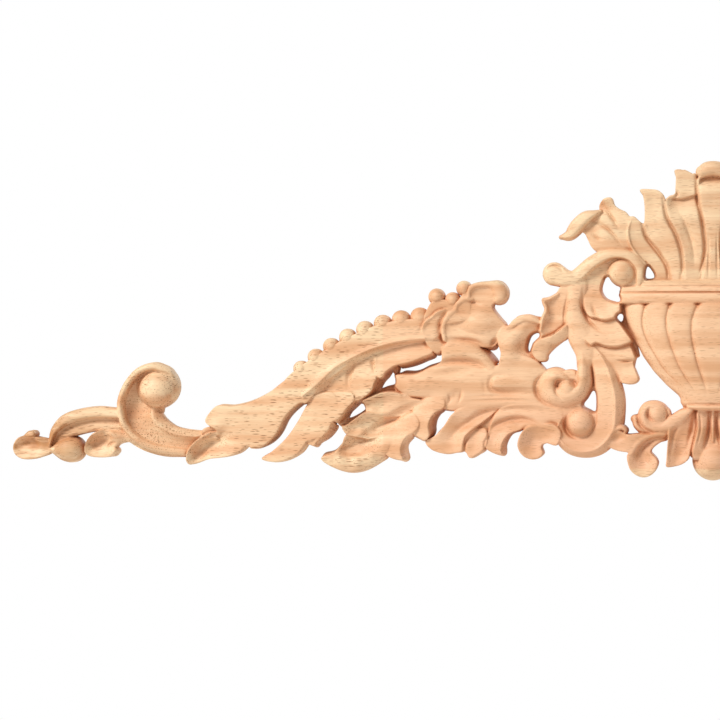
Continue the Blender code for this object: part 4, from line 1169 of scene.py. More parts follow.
@dataclass
class StemLeaf(Carving):
    """The leaf on the left of the stem: a hollow face, a vein and a drooping tongue."""

    rim: float = 15.4

    def carve(self) -> None:
        """Carve the face, its rim, then the tongue that hangs over the curl."""
        rim = self.rim
        self.wood.plate(
            [(-120.3, 2.2), (-117.4, 9.5), (-119.6, 13.5), (-119.3, 16.4), (-115, 17.3),
             (-109.5, 20.3), (-106, 25), (-98, 26), (-96, 5), (-98, -6), (-103.5, -4), (-112, -9),
             (-120, -13.5), (-126, -17), (-124.5, -12.5), (-121.5, -8.5)],
            [(-119, 14, 15), (-118.5, 6, 15), (-120.5, -5, 15), (-113, 11, 11.6), (-114, 0, 10.8),
             (-108, -3, 11.4), (-104.5, 5, 13), (-108, 17, 12.8), (-118, -10, 13.4),
             (-100, 10, 14.5), (-105, 23, 13)], trace=0.8)
        self.wood.stroke(
            [(-123.6, -13, 1, 14), (-120.4, -6, 1.3, rim), (-119.3, 1, 1.4, rim),
             (-116.6, 8.5, 1.4, rim), (-118.1, 13.8, 1.4, rim), (-114, 16.2, 1.2, 14.8),
             (-108.5, 19.3, 1.2, 14.2)], edge=12.4, blend=1.4, trace=0.3)
        self.wood.plate(
            [(-102, -2.4), (-107, -5.8), (-112.3, -9.5), (-119, -12), (-125.2, -14.6), (-127, -19),
             (-126.3, -23.5), (-122.4, -27.7), (-118, -28), (-116.2, -26.5), (-115.6, -23.2),
             (-111, -18.2), (-105.8, -14.2), (-101.5, -11)],
            [(-102, -4, 15.2), (-108, -8.2, 15.8), (-113, -12, 15.8), (-124, -17, 15.6),
             (-118, -14.4, 15.8), (-104, -9, 14.6), (-109, -13.6, 14.2), (-114, -18, 14.2),
             (-121, -21.5, 14.8), (-103, -11.6, 12.6), (-112, -18.8, 12.4), (-117, -26, 12.8),
             (-122, -26.8, 13), (-126, -22, 14)], draft=1.4, trace=1.8)


@dataclass
class Volutes(Carving):
    """The stem and the two volutes it parts into, each curling round an eye or a ball."""

    crest: float = 16.4
    eye: float = 17.4
    ball: float = 20.0

    def carve(self) -> None:
        """Carve the stem, the floors, the upper ring and the lower scroll."""
        # The rounded stem, with the vein on its left.
        self.wood.stroke(
            [(-95, 27, 8, 14.5), (-97, 12, 6.6, 15.6), (-95.5, 0, 8.4, 15.6),
             (-91.5, -11, 9.8, 15.4), (-89, -22, 7.6, 14), (-90, -31, 5.2, 14)], edge=10.5,
            blend=0.3, trace=0)
        self.wood.groove(
            [(-100.5, 22, 0.9, 0.6), (-103, 11, 1.1, 1.5), (-104, 3, 1.2, 1.6),
             (-103.6, -3, 1.1, 1.4)], floor=7)
        self.carve_ring()
        self.carve_scroll()

    def carve_ring(self) -> None:
        """Carve the upper volute: a ring whose ridge runs near its inner side, and an eye."""
        crest = self.crest
        self.wood.stroke(
            [(-104, -47, 11, 12.8), (-100, -44, 10, 12.8)], edge=12, section=Section.FLAT, trace=0)
        self.wood.plate(
            [(-92, -26), (-78, -26), (-78, -68), (-90, -64), (-97, -54), (-92, -40)],
            [(-85, -35, 8.5)], trace=0)
        self.wood.moulding(
            [(-91, -16, 3, 13), (-89.8, -26, 4.6, 14.6), (-89.8, -35, 5, crest),
             (-90, -43, 5.6, crest), (-94.5, -51, 6.2, crest + 0.4),
             (-103, -54.6, 6.6, crest + 0.6), (-111.6, -53, 6.9, crest + 0.6),
             (-116.6, -47, 6.9, crest + 0.4), (-115.1, -40.4, 6.3, crest),
             (-109.5, -37, 4.6, crest - 0.4), (-102.5, -39.3, 3.2, 15), (-98.5, -42.5, 1.8, 13)],
            [(-1, 0.84), (-0.8, 0.93), (-0.5, 0.99), (-0.2, 1), (0.2, 0.94), (0.7, 0.79),
             (1, 0.68)], draft=1.4)
        self.wood.groove(
            [(-117, -36.5, 1.4, 1), (-122.8, -41.5, 1.7, 2.4), (-124, -48, 1.8, 2.6),
             (-121, -54.5, 1.7, 2.2), (-113, -59, 1.4, 1.4), (-103, -61, 1.2, 1)])
        self.wood.boss(-101.9, -47.4, 7.0, self.eye, trace=1)
        self.wood.groove(
            [(-106.5, -40.5, 0.9, 1), (-109.6, -44.5, 1.3, 1.8), (-109.4, -50.5, 1.3, 1.8),
             (-105, -54.6, 1, 1.6)], floor=8)
        self.wood.dent(-97.5, -43.5, 3, 2, 2.4, -40)

    def carve_scroll(self) -> None:
        """Carve the lower volute: a flat left face, a ridge and a bevel, round a ball."""
        crest = self.crest
        self.wood.plate(
            [(-108, -60), (-98, -57), (-88, -58), (-82, -64), (-78, -80), (-90, -90), (-106, -84),
             (-110, -70)],
            [(-104, -62, 11.5), (-92, -60, 12), (-84, -66, 12.4), (-90, -84, 13), (-104, -78, 12)],
            trace=0)
        self.wood.moulding(
            [(-85.5, -16.5, 2.5, 13.6), (-79.5, -26, 6, 15), (-75, -38, 8.2, crest),
             (-72.2, -52, 10, crest), (-71.8, -64, 10, crest), (-73.5, -76, 9.6, crest),
             (-81, -85.6, 8.6, crest - 0.4), (-90, -89, 7, crest - 0.8),
             (-99.5, -87, 6.2, crest - 1.2), (-106.4, -80.6, 4.6, crest - 1.6),
             (-107.2, -73.5, 3, 14), (-104.6, -67.5, 1.4, 12.6)],
            [(-1, 0.74), (-0.86, 0.86), (-0.2, 0.9), (0.2, 0.94), (0.34, 1), (0.42, 0.99),
             (0.8, 0.8), (1, 0.66)], draft=1.4, trace=1.4)
        self.wood.boss(-92.6, -71.2, 10, self.ball, trace=1, blend=1.6)
        self.wood.groove(
            [(-101.5, -65.5, 1, 1), (-103.6, -72, 1.5, 3), (-101, -79, 1.4, 2.4),
             (-95.5, -82.6, 1, 1)], floor=8)


@dataclass
class SideLobes(Carving):
    """Three lobes between the stem and the urn, each over the next, on a low ground."""

    edge: float = 16.4
    face: float = 13.0
    ground: float = 5.5

    def carve(self) -> None:
        """Carve the ground and the lobes, then the line that parts them from the stem."""
        ground = self.ground
        # The low ground that joins the lobes to the urn.
        self.wood.plate(
            [(-88, 20), (-76, 16), (-63.5, 13.5), (-60, 12), (-56, -4), (-51.5, -22), (-51.8, -25),
             (-53.5, -26.5), (-57, -38), (-66, -42), (-80, -30), (-90, -8)],
            [(-80, 0, ground), (-60, 0, ground), (-50, -26, ground)], trace=0)
        self.carve_lobes()
        self.wood.groove(
            [(-90.5, 24, 1.1, 1.2), (-91.5, 12, 1.4, 2.2), (-88, 2.5, 1.4, 2.2),
             (-81.5, -4.8, 1.3, 1.8), (-72, -9.5, 1.2, 1)], floor=7)
        self.wood.groove([(-84.5, 12, 1.2, 0.8), (-82.5, 6, 1.3, 1.6), (-78, 3.2, 1, 1)])

    def carve_lobes(self) -> None:
        """Carve the lobes from the lowest to the highest."""
        edge, face = self.edge, self.face
        self.wood.plate(
            [(-84, -15), (-78, -14), (-68, -14), (-60, -14), (-57.5, -17.5), (-55.5, -22),
             (-54, -26), (-55.3, -28), (-54.8, -32), (-53.3, -36), (-51.8, -40.5), (-54, -43.2),
             (-58, -44), (-62, -43.4), (-64.5, -42.3), (-67.5, -35.5), (-72, -28.5), (-78, -21.8),
             (-85, -18)],
            [(-82, -17, 13), (-70, -19, 13), (-58, -18, 13.2), (-56, -25, 15.4), (-61, -26, 15),
             (-66, -28, 13.6), (-57.5, -30, 13.2), (-54, -40, 15.8), (-60, -43, 15.8),
             (-65, -37, 13), (-60, -35, 13.8)], draft=3.4)
        self.wood.groove([(-68, -27.5, 0.9, 0.8), (-62, -28, 1.1, 2), (-55.5, -27.6, 1, 2)])
        self.wood.plate(
            [(-90, 6), (-84, 3), (-76, 4), (-69, 4), (-66.5, 0.5), (-63, -4.5), (-59.8, -9),
             (-57, -13.3), (-60, -15.4), (-67, -17.4), (-75, -16.8), (-81.5, -14.7), (-86, -16),
             (-92, -8)],
            [(-84, 1, 12.8), (-72, 1, 13.2), (-66, -2, 14), (-61, -9.5, 15.8), (-59, -13.5, edge),
             (-68, -16.3, edge + 0.3), (-80, -14, edge), (-74, -7, 14), (-86, -8, 14.6),
             (-68, -9, 14.6)], draft=2.6, trace=2)
        self.wood.plate(
            [(-90, 22), (-83, 24), (-77, 24), (-76, 19), (-72.5, 15.7), (-67, 14.2), (-64.9, 12.4),
             (-64.9, 7.2), (-66.8, 4.5), (-69, 2.8), (-76, 1.3), (-82, 3), (-87, 4), (-91.3, 12)],
            [(-88, 15, 13), (-79, 18, 11.6), (-73, 12.5, 13), (-67.3, 10, 15.4), (-68, 4.5, edge),
             (-77, 2.3, edge + 0.4), (-84, 5, 15), (-80, 9, face + 0.8), (-74, 8, 14.4)],
            draft=2.2, trace=2)


@dataclass
class TopScroll(Carving):
    """The scroll over the lobes: a curled end, a smooth band and a ball in its crook."""

    crest: float = 17.4
    ball: float = 20.5

    def carve(self) -> None:
        """Carve the floor, the curled end and the band, then the ball."""
        crest = self.crest
        self.wood.plate(
            [(-99, 24), (-88, 33), (-80, 39), (-72, 44), (-60, 44), (-54, 40), (-49, 32),
             (-50, 24), (-62, 24), (-66, 24), (-70, 26), (-74.5, 31), (-76.5, 27), (-77.5, 20),
             (-92, 18), (-100, 20)],
            [(-85, 28, 12), (-73, 38, 11), (-60, 41, 13.6), (-92, 22, 10.5), (-80, 21, 10.5),
             (-52, 30, 14.4), (-56, 26, 14.4)], trace=0)
        self.wood.stroke(
            [(-111, 33.5, 8.3, 15), (-104, 30.6, 6.6, 15.4), (-98, 30, 5.4, 15.6)], edge=10,
            section=Section.FULL, blend=1)
        self.wood.moulding(
            [(-104, 29.6, 5.4, 14.8), (-96, 31, 5.4, 15.6), (-84.5, 41, 5, crest - 0.6),
             (-75, 46.2, 4.5, crest), (-66, 47.6, 4.1, crest), (-57, 45, 4.4, crest),
             (-50.8, 37.6, 4.4, crest), (-50.4, 30, 4.2, crest - 0.6), (-51.5, 25, 3, 16)],
            [(-1, 0.58), (-0.9, 0.72), (-0.72, 0.93), (-0.5, 1), (0.1, 0.99), (0.6, 0.92),
             (0.85, 0.82), (1, 0.68)], draft=1.4, trace=1.4)
        self.wood.groove(
            [(-116.4, 35.4, 0.9, 0.8), (-114.6, 38, 1.2, 2), (-110.6, 39.2, 1.3, 2.6),
             (-106.6, 37.4, 1.2, 2.2), (-104.6, 34.4, 1, 1)])
        self.wood.boss(-63.6, 34, 9.8, self.ball, trace=1.6, blend=0.6)


@dataclass
class CrestLeaf(Carving):
    """The leaf above the scroll: a beak that droops to the left, and a grooved body."""

    body: float = 14.0
    beak: float = 17.6

    def carve(self) -> None:
        """Carve the body and its grooves, then the beak."""
        body = self.body
        # The body, hollow under the beak and under the top lobe.
        self.wood.plate(
            [(-80, 48.5), (-84.6, 52), (-87.2, 57), (-89.4, 61.6), (-91.4, 63.4), (-91, 67),
             (-88, 72), (-80, 76), (-79.3, 82), (-75.8, 86.3), (-70.6, 86.7), (-68.7, 82),
             (-65.2, 79), (-60.7, 76.8), (-58, 73.8), (-54.7, 73.5), (-50.2, 69.5), (-46, 67),
             (-44, 58), (-38, 50), (-30, 42), (-28, 28), (-40, 28), (-46, 30), (-46, 41),
             (-54, 43), (-62, 46), (-70, 46)],
            [(-88, 60.5, 12.6), (-89, 67, 12), (-83, 71, 12.2), (-83, 62, 13), (-80, 53, 14),
             (-72, 52, 14.4), (-75, 65, body + 1), (-78, 74, 14), (-74.5, 85, 16.8),
             (-77, 81.5, 11.4), (-71.5, 79, 13.6), (-63, 75.5, 15.2), (-67, 68, body + 0.6),
             (-62, 58, body), (-56, 70, 15), (-52, 67, 14.6), (-54, 58, body - 0.4),
             (-46, 50, 12.6), (-50, 46, 13), (-36, 35, 12.6)], draft=1.4)
        self.wood.groove(
            [(-86, 71.5, 1, 0.6), (-78, 68, 1.5, 1.8), (-71, 62.5, 1.6, 2.1), (-63, 53, 1.3, 1.4)])
        self.wood.groove([(-75.5, 80, 1, 0.8), (-70.5, 73, 1.5, 2.1), (-65.5, 65.5, 1.3, 1.4)])
        self.wood.groove([(-84.5, 61.5, 1, 0.8), (-80.5, 58.5, 1.3, 1.4), (-76.5, 57.5, 1, 0.8)])
        self.wood.groove([(-63, 53.5, 1, 0.6), (-56, 47.8, 1.4, 1.9), (-47.5, 40.8, 1.3, 1.8)])
        self.wood.stroke(
            [(-56.4, 72.6, 0.8, 15), (-59.2, 64, 1.1, 15.4), (-57.6, 54, 1.1, 15.2),
             (-51.6, 45, 1.1, 14.8), (-46.8, 40, 0.8, 14.2)], edge=13.4, blend=1.4, trace=0.9)
        self.wood.moulding(
            [(-106.6, 59.4, 1.4, 12.5), (-100.5, 61, 3.8, 14.6), (-95, 67, 5.2, 16.6),
             (-88.5, 73, 4.8, self.beak), (-82.2, 76, 2.4, 16.8), (-78.5, 77.5, 1.2, 15)],
            [(-1, 0.62), (-0.9, 0.76), (-0.72, 0.9), (-0.45, 0.98), (-0.2, 1), (0.6, 0.96),
             (0.86, 0.87), (1, 0.72)], draft=1.4, trace=1)


@dataclass
class Flames(Carving):
    """The flames in the urn: two blades at each side, and a broad one that rolls forward."""

    face: float = 14.6
    tip: float = 18.0
    ground: float = 10.0
    partings: Sequence[Points] = (
        ((-49.2, 68), (-46.4, 59), (-38.6, 49), (-32.2, 39), (-30.5, 29)),
        ((-34.6, 86), (-32.2, 73), (-26, 61), (-21.8, 47), (-20.7, 29)),
        ((-11.6, 101), (-10.2, 85), (-6.8, 65), (-5.6, 49), (-8.8, 29)),
    )

    def carve(self) -> None:
        """Carve the ground, the blades from the outside in, and the partings between."""
        self.wood.plate(
            [(-46, 66), (-36, 76), (-30, 84), (-14, 96), (-8, 104), (8, 104), (8, 28), (-48, 28),
             (-50, 44)],
            [(-30, 60, self.ground), (0, 60, self.ground)], trace=0)
        self.carve_side_blades()
        self.carve_middle_blade()
        for parting in self.partings:
            self.wood.groove([(x, z, 1.5, 3.6) for x, z in parting], floor=7)

    def carve_side_blades(self) -> None:
        """Carve the two side blades; the inner one's tip folds forward."""
        face, tip = self.face, self.tip
        self.wood.plate(
            [(-50.7, 92.4), (-42, 92.5), (-37.6, 91.4), (-33.7, 87.3), (-33, 79), (-30.5, 70),
             (-26, 61.5), (-22, 50), (-20.2, 38), (-20.2, 28), (-30.5, 28), (-31.5, 36), (-36, 45),
             (-41, 51), (-46.6, 59), (-49.5, 67), (-47.8, 70), (-47.6, 80), (-48.7, 88)],
            [(-48, 91, tip - 1.4), (-39, 90.5, tip - 0.8), (-46.5, 78, face + 0.6),
             (-35.8, 84, face + 1.8), (-41, 82, face + 0.4), (-37, 72, face + 1.4),
             (-46, 66, face - 0.6), (-40, 58, face), (-32.5, 62, face + 1), (-28, 50, face + 0.6),
             (-35, 48, face - 0.6), (-24, 36, face)], draft=1.4)
        self.wood.plate(
            [(-26.6, 106), (-20, 106.1), (-14.5, 103.6), (-11.5, 103), (-10.5, 96), (-9.8, 86),
             (-7.6, 74), (-5.6, 62), (-4.8, 50), (-5.6, 38), (-8, 28), (-21, 28), (-21, 38),
             (-23, 50), (-27, 61.5), (-31.5, 70), (-33.8, 79), (-32.5, 86.2), (-27, 88), (-26, 95),
             (-25.8, 101)],
            [(-31.5, 84.5, face + 1), (-27, 83, face - 1.6), (-18, 83.5, face - 1.8),
             (-12, 82, face - 0.8), (-30, 77, face + 0.6), (-20, 74, face + 0.6),
             (-11, 72, face + 1), (-24, 64, face + 1), (-16, 60, face - 1), (-9.5, 60, face),
             (-13, 45, face - 1), (-19, 48, face + 0.6), (-8, 48, face), (-14, 32, face)],
            draft=1.4)
        self.wood.plate(
            [(-26.6, 106), (-20, 106.1), (-14.5, 103.6), (-11.8, 103), (-11, 96), (-10.5, 89.5),
             (-16, 87.4), (-22, 86), (-27, 86.4), (-31.8, 86.2), (-30, 88), (-26.6, 89.5),
             (-26, 95), (-25.8, 101)],
            [(-25, 105, tip - 1), (-14, 102, tip - 1), (-24, 96, face + 0.8),
             (-14, 96, face + 0.8), (-25, 88.6, face + 0.9), (-13, 89, face + 0.9),
             (-20, 87.4, face + 0.5)], draft=3, blend=1, trace=0.6)
        self.wood.groove([(-25.4, 93, 0.9, 0.8), (-24.8, 88.6, 1.2, 1.6), (-28.5, 85, 1.2, 1)])
        self.wood.groove(
            [(-24.5, 78, 1.4, 0.6), (-19, 68, 1.8, 1.4), (-14.5, 55, 1.6, 1.4),
             (-12.5, 40, 1.4, 0.8)])

    def carve_middle_blade(self) -> None:
        """Carve the middle blade, hollow under the roll at its top."""
        face, tip = self.face, self.tip
        self.wood.plate(
            [(-11.4, 104), (0, 108), (11.4, 104), (10.6, 85), (8, 70), (5.4, 58), (4.9, 48),
             (7.6, 38), (9, 28), (-9, 28), (-7.6, 38), (-4.9, 48), (-5.4, 58), (-8, 70),
             (-10.6, 85)],
            [(-9, 99, face - 1.2), (9, 99, face - 1.2), (0, 99.5, face - 1.6), (-8, 93, face + 2),
             (8, 93, face + 2), (0, 93, face + 2.4), (0, 84, face + 1), (-7, 80, face + 0.6),
             (7, 80, face + 0.6), (0, 68, face + 0.8), (-4, 62, face), (4, 62, face),
             (0, 48, face + 0.8), (0, 34, face + 0.4)], draft=1.4)
        self.wood.stroke(
            [(-7.6, 104.6, 4.4, tip + 1), (-4, 106.4, 5.2, tip + 2), (0, 107, 5.2, tip + 2.4),
             (4, 106.4, 5.2, tip + 2), (7.6, 104.6, 4.4, tip + 1)], edge=13.6, trace=0.5)
        for side in (-1, 1):
            self.wood.stroke(
                [(side * 5.4, 102, 0.9, 17), (side * 9.2, 100.4, 1.2, 17.2),
                 (side * 10.4, 97, 1.2, 16.8), (side * 9.9, 90, 1, 16),
                 (side * 8.6, 78, 0.8, 15.2)], edge=14.4, blend=1.2, trace=0.5)
        self.wood.groove([(-3, 62, 0.8, 0.6), (-2.9, 48, 0.9, 1.4), (-3.2, 31, 0.8, 1)])


@dataclass
class Foot(Carving):
    """The urn's foot: a pendent leaf over a knob, side leaves, and a scroll to the volute."""

    rim: float = 15.8
    knob: float = 17.0

    def carve(self) -> None:
        """Carve the scroll at the side, then the side leaf and the middle leaf."""
        self.carve_side_scroll()
        self.carve_side_leaf()
        self.wood.stroke(
            [(-15.5, -62.2, 2.4, 15.4), (-20, -65.2, 4.2, 15.4), (-26.5, -70, 4.9, 15.4),
             (-33.5, -73.8, 4.6, 15.4), (-40, -75.2, 3.6, 15.2)], edge=11.5, blend=1.2, trace=1.4)
        self.carve_middle_leaf()
        self.wood.stroke(
            [(-16.8, -59.8, 1.4, 17.4), (-10, -60.1, 2.2, 19.4), (0, -60.3, 2.3, 20),
             (10, -60.1, 2.2, 19.4), (16.8, -59.8, 1.4, 17.4)], edge=14, blend=0.3, trace=1.6)

    def carve_side_leaf(self) -> None:
        """Carve the hollow leaf that hangs at the side of the middle one."""
        rim = self.rim
        self.wood.plate(
            [(-21.5, -61.5), (-10, -60.5), (-7, -70), (-10, -80), (-14, -88), (-15.8, -93.5),
             (-17.7, -97.3), (-21, -99.9), (-26, -101.6), (-32.3, -102), (-32.4, -97),
             (-31.8, -88), (-31.3, -80), (-31, -70), (-31.5, -67.3), (-26, -65)],
            [(-22, -64, 13.6), (-13, -66, 12), (-11, -76, 11), (-29.4, -70, 14.4), (-24, -72, 14),
             (-30.3, -84, 15.6), (-26, -82, 12.4), (-20, -80, 11.4), (-16, -84, 12.4),
             (-29, -94, 14.6), (-22, -91, 10.8), (-17, -92, 13.6), (-31, -100, rim),
             (-26, -98.5, 13.4), (-19.5, -97.8, 14.6)], draft=1.4)
        self.wood.groove(
            [(-20, -63, 1.4, 0.8), (-25, -72, 1.8, 1.6), (-28.5, -84, 1.8, 1.6),
             (-30, -97, 1.4, 0.8)])
        self.wood.groove([(-13, -62, 1.5, 1), (-14.5, -76, 2, 2), (-19, -92, 1.8, 1.4)])
        self.wood.groove([(-21, -60.3, 1, 1.6), (-10, -60.6, 1, 2.5), (0, -60.6, 1, 2.5)])

    def carve_middle_leaf(self) -> None:
        """Carve the middle leaf, with a rib at each side, over the round knob."""
        rim = self.rim
        self.wood.plate(
            [(-19, -84), (-8, -84), (-8, -97), (-14, -96), (-16, -94)],
            [(-13, -92, 6.5)], trace=0)
        self.wood.boss(0, -97.4, 14.4, self.knob)
        self.wood.plate(
            [(-9.6, -61), (9.6, -61), (10.6, -74), (13.2, -86), (14.4, -92), (12.8, -96.5),
             (6, -96.2), (0, -94.6), (-6, -96.2), (-12.8, -96.5), (-14.4, -92), (-13.2, -86),
             (-10.6, -74)],
            [(-8, -64, 14.6), (8, -64, 14.6), (-8, -76, rim), (8, -76, rim), (-10.5, -86, rim),
             (10.5, -86, rim), (-12, -93, 15), (12, -93, 15), (0, -64, 13), (0, -76, 12),
             (0, -85, 11.5), (-6, -92, 13.4), (6, -92, 13.4), (0, -93, 12)], draft=1.4, trace=2.4)
        for side in (-1, 1):
            self.wood.groove([(side * 9.2, -63, 0.8, 0.8), (side * 8.6, -75, 0.9, 1.4),
                              (side * 11.4, -88, 0.8, 0.8)])
            self.wood.groove([(side * 2.6, -62.5, 0.9, 1.6), (side * 2.8, -75, 1.3, 3.2),
                              (side * 5.5, -88, 1.6, 3.4)], floor=6)
        self.wood.stroke(
            [(0, -62, 1.5, 15), (0, -74, 1.4, 15), (0, -84, 0.9, 13)], edge=12, trace=0)

    def carve_side_scroll(self) -> None:
        """Carve the scroll by the urn and the drooping leaf below it."""
        self.wood.plate(
            [(-57.3, -69.5), (-56.8, -66.7), (-52, -64.8), (-45, -60), (-33, -60), (-29, -66),
             (-29, -79), (-42, -82), (-51, -79), (-54.5, -73)],
            [(-50, -68, 11), (-40, -72, 12.6), (-34, -68, 12.6)], trace=0)
        self.wood.moulding(
            [(-26, -72, 5.4, 14), (-33, -75, 4.6, 14.8), (-40, -75.2, 4, 15.4),
             (-46.3, -72.3, 3.9, 15.8), (-48.8, -65.8, 3.7, 15.8), (-45.9, -60.5, 3.7, 15.6),
             (-39.7, -58.9, 3, 15), (-34.6, -61.4, 2.7, 14), (-33.2, -65.5, 1.6, 12.6)],
            [(-1, 0.86), (-0.7, 0.93), (-0.2, 1), (0.3, 0.98), (1, 0.7)], draft=1.2, trace=1.8)
        self.wood.stroke(
            [(-40, -65.4, 7.6, 15.4), (-39.6, -65.2, 7.6, 15.4)], edge=13.4, section=Section.FULL,
            blend=1.6, trace=0)
        self.wood.boss(-38.9, -64.8, 6.3, 17.2, trace=0.3, blend=1.4)
        self.wood.groove(
            [(-43.4, -59.8, 0.9, 0.8), (-45.4, -63.6, 1.2, 2.4), (-44.4, -67.6, 1.2, 2.6),
             (-40, -70.6, 0.9, 1.2)])
        self.wood.stroke(
            [(-54.5, -68, 2.3, 13), (-53.4, -73, 2.2, 13.6), (-49, -77.6, 2.3, 13.4)], edge=10,
            trace=1.4)
        self.carve_drooping_leaf()

    def carve_drooping_leaf(self) -> None:
        """Carve the leaf that joins the scroll to the lower volute and hangs below it."""
        self.wood.plate(
            [(-76, -84), (-66, -77), (-59.5, -79.3), (-52, -78.8), (-44, -79), (-30, -77.5),
             (-31.6, -83), (-37, -85.1), (-42, -89), (-43.2, -91.7), (-41, -94.2), (-38.9, -97),
             (-38.3, -100), (-40.2, -104.8), (-44, -108.4), (-49, -109.5), (-54, -107.7),
             (-57.8, -104), (-59.6, -98.5), (-60, -94.5), (-59.5, -92.1), (-66, -91),
             (-72.5, -88.3)],
            [(-68, -79.5, 15), (-67, -89, 14), (-60, -84, 15), (-50, -80.5, 15.4),
             (-38, -80, 13.6), (-33, -82, 11), (-45, -86.5, 11.6), (-54, -86, 14.6),
             (-56, -91.5, 14.8), (-58.5, -98, 15.4), (-51, -93, 11.4), (-47.5, -98.5, 11),
             (-44, -93, 12.6), (-56, -105, 14.6), (-48, -107.5, 14.4), (-41, -100, 14.8),
             (-49, -103, 13.2)], draft=1.4)
        self.wood.stroke(
            [(-72.5, -83, 1.2, 14.4), (-69.5, -77.5, 1.7, 15.4), (-64.5, -74.6, 2, 15.8),
             (-61.2, -76.2, 1.8, 15.2), (-61.8, -78.6, 1.2, 14)], edge=12.6, blend=1.4, trace=0.6)
        self.wood.dent(-65.5, -81, 4.5, 3, 1.8, 20)
        self.wood.stroke(
            [(-31, -78.6, 1, 13.6), (-40, -79.8, 1.6, 14.6), (-48, -82.4, 1.9, 15.2),
             (-53.5, -87, 1.9, 15.2), (-57.2, -93.5, 1.4, 14.8)], edge=13, blend=2, trace=0.5)
        self.wood.groove(
            [(-34, -81.5, 1.2, 0.8), (-43, -83.6, 2, 1.8), (-49.5, -89, 2, 2),
             (-52.5, -97, 1.6, 1)])


@dataclass
class Holes(Carving):
    """The holes sawn through the ground, where the wall behind shows."""

    low_by_wing: Points = (
        (-257.4, -68.4), (-256, -64.3), (-252, -60.4), (-248, -57.3), (-246, -61.6),
        (-251, -65.6))
    high_by_wing: Points = (
        (-234.2, -47.1), (-232.5, -43.1), (-229, -39.2), (-226, -35.9), (-224.2, -43.4),
        (-230, -45.7))
    by_curl: Points = (
        (-122.2, -8.4), (-125, -8.6), (-128, -11.2), (-129.9, -17.5), (-129.1, -21),
        (-127.8, -18), (-126.6, -15), (-124, -12.5), (-122, -10.4))
    by_volutes: Points = (
        (-90, -58.8), (-87, -54.5), (-84, -49.6), (-82.6, -52), (-82.4, -58), (-82.9, -62.5),
        (-85.5, -61.6))
    by_lobe: Points = (
        (-76.7, 22), (-75.9, 27), (-73.8, 30.8), (-71.4, 27.5), (-68.5, 25), (-65.6, 23.4),
        (-66.8, 19.5), (-65.6, 14.9), (-69.5, 15.2), (-74, 17.3))
    by_urn: Points = ((-66.4, 3.2), (-65, 4.8), (-63.6, 4), (-63.8, 1.4), (-64.6, 0.9))
    by_flame: Points = (
        (-45.6, 38.4), (-43.2, 36), (-41.5, 32.8), (-41.8, 30.8), (-46.3, 30.8), (-46.8, 34.6))

    def carve(self) -> None:
        """Saw each hole, a little wider than its outline."""
        for grown, outlines in (
            (0.2, [self.by_curl]),
            (0.3, [self.low_by_wing, self.high_by_wing, self.by_flame]),
            (0.7, [self.by_volutes, self.by_lobe, self.by_urn]),
        ):
            for outline in outlines:
                self.wood.pierce(outline, grown)


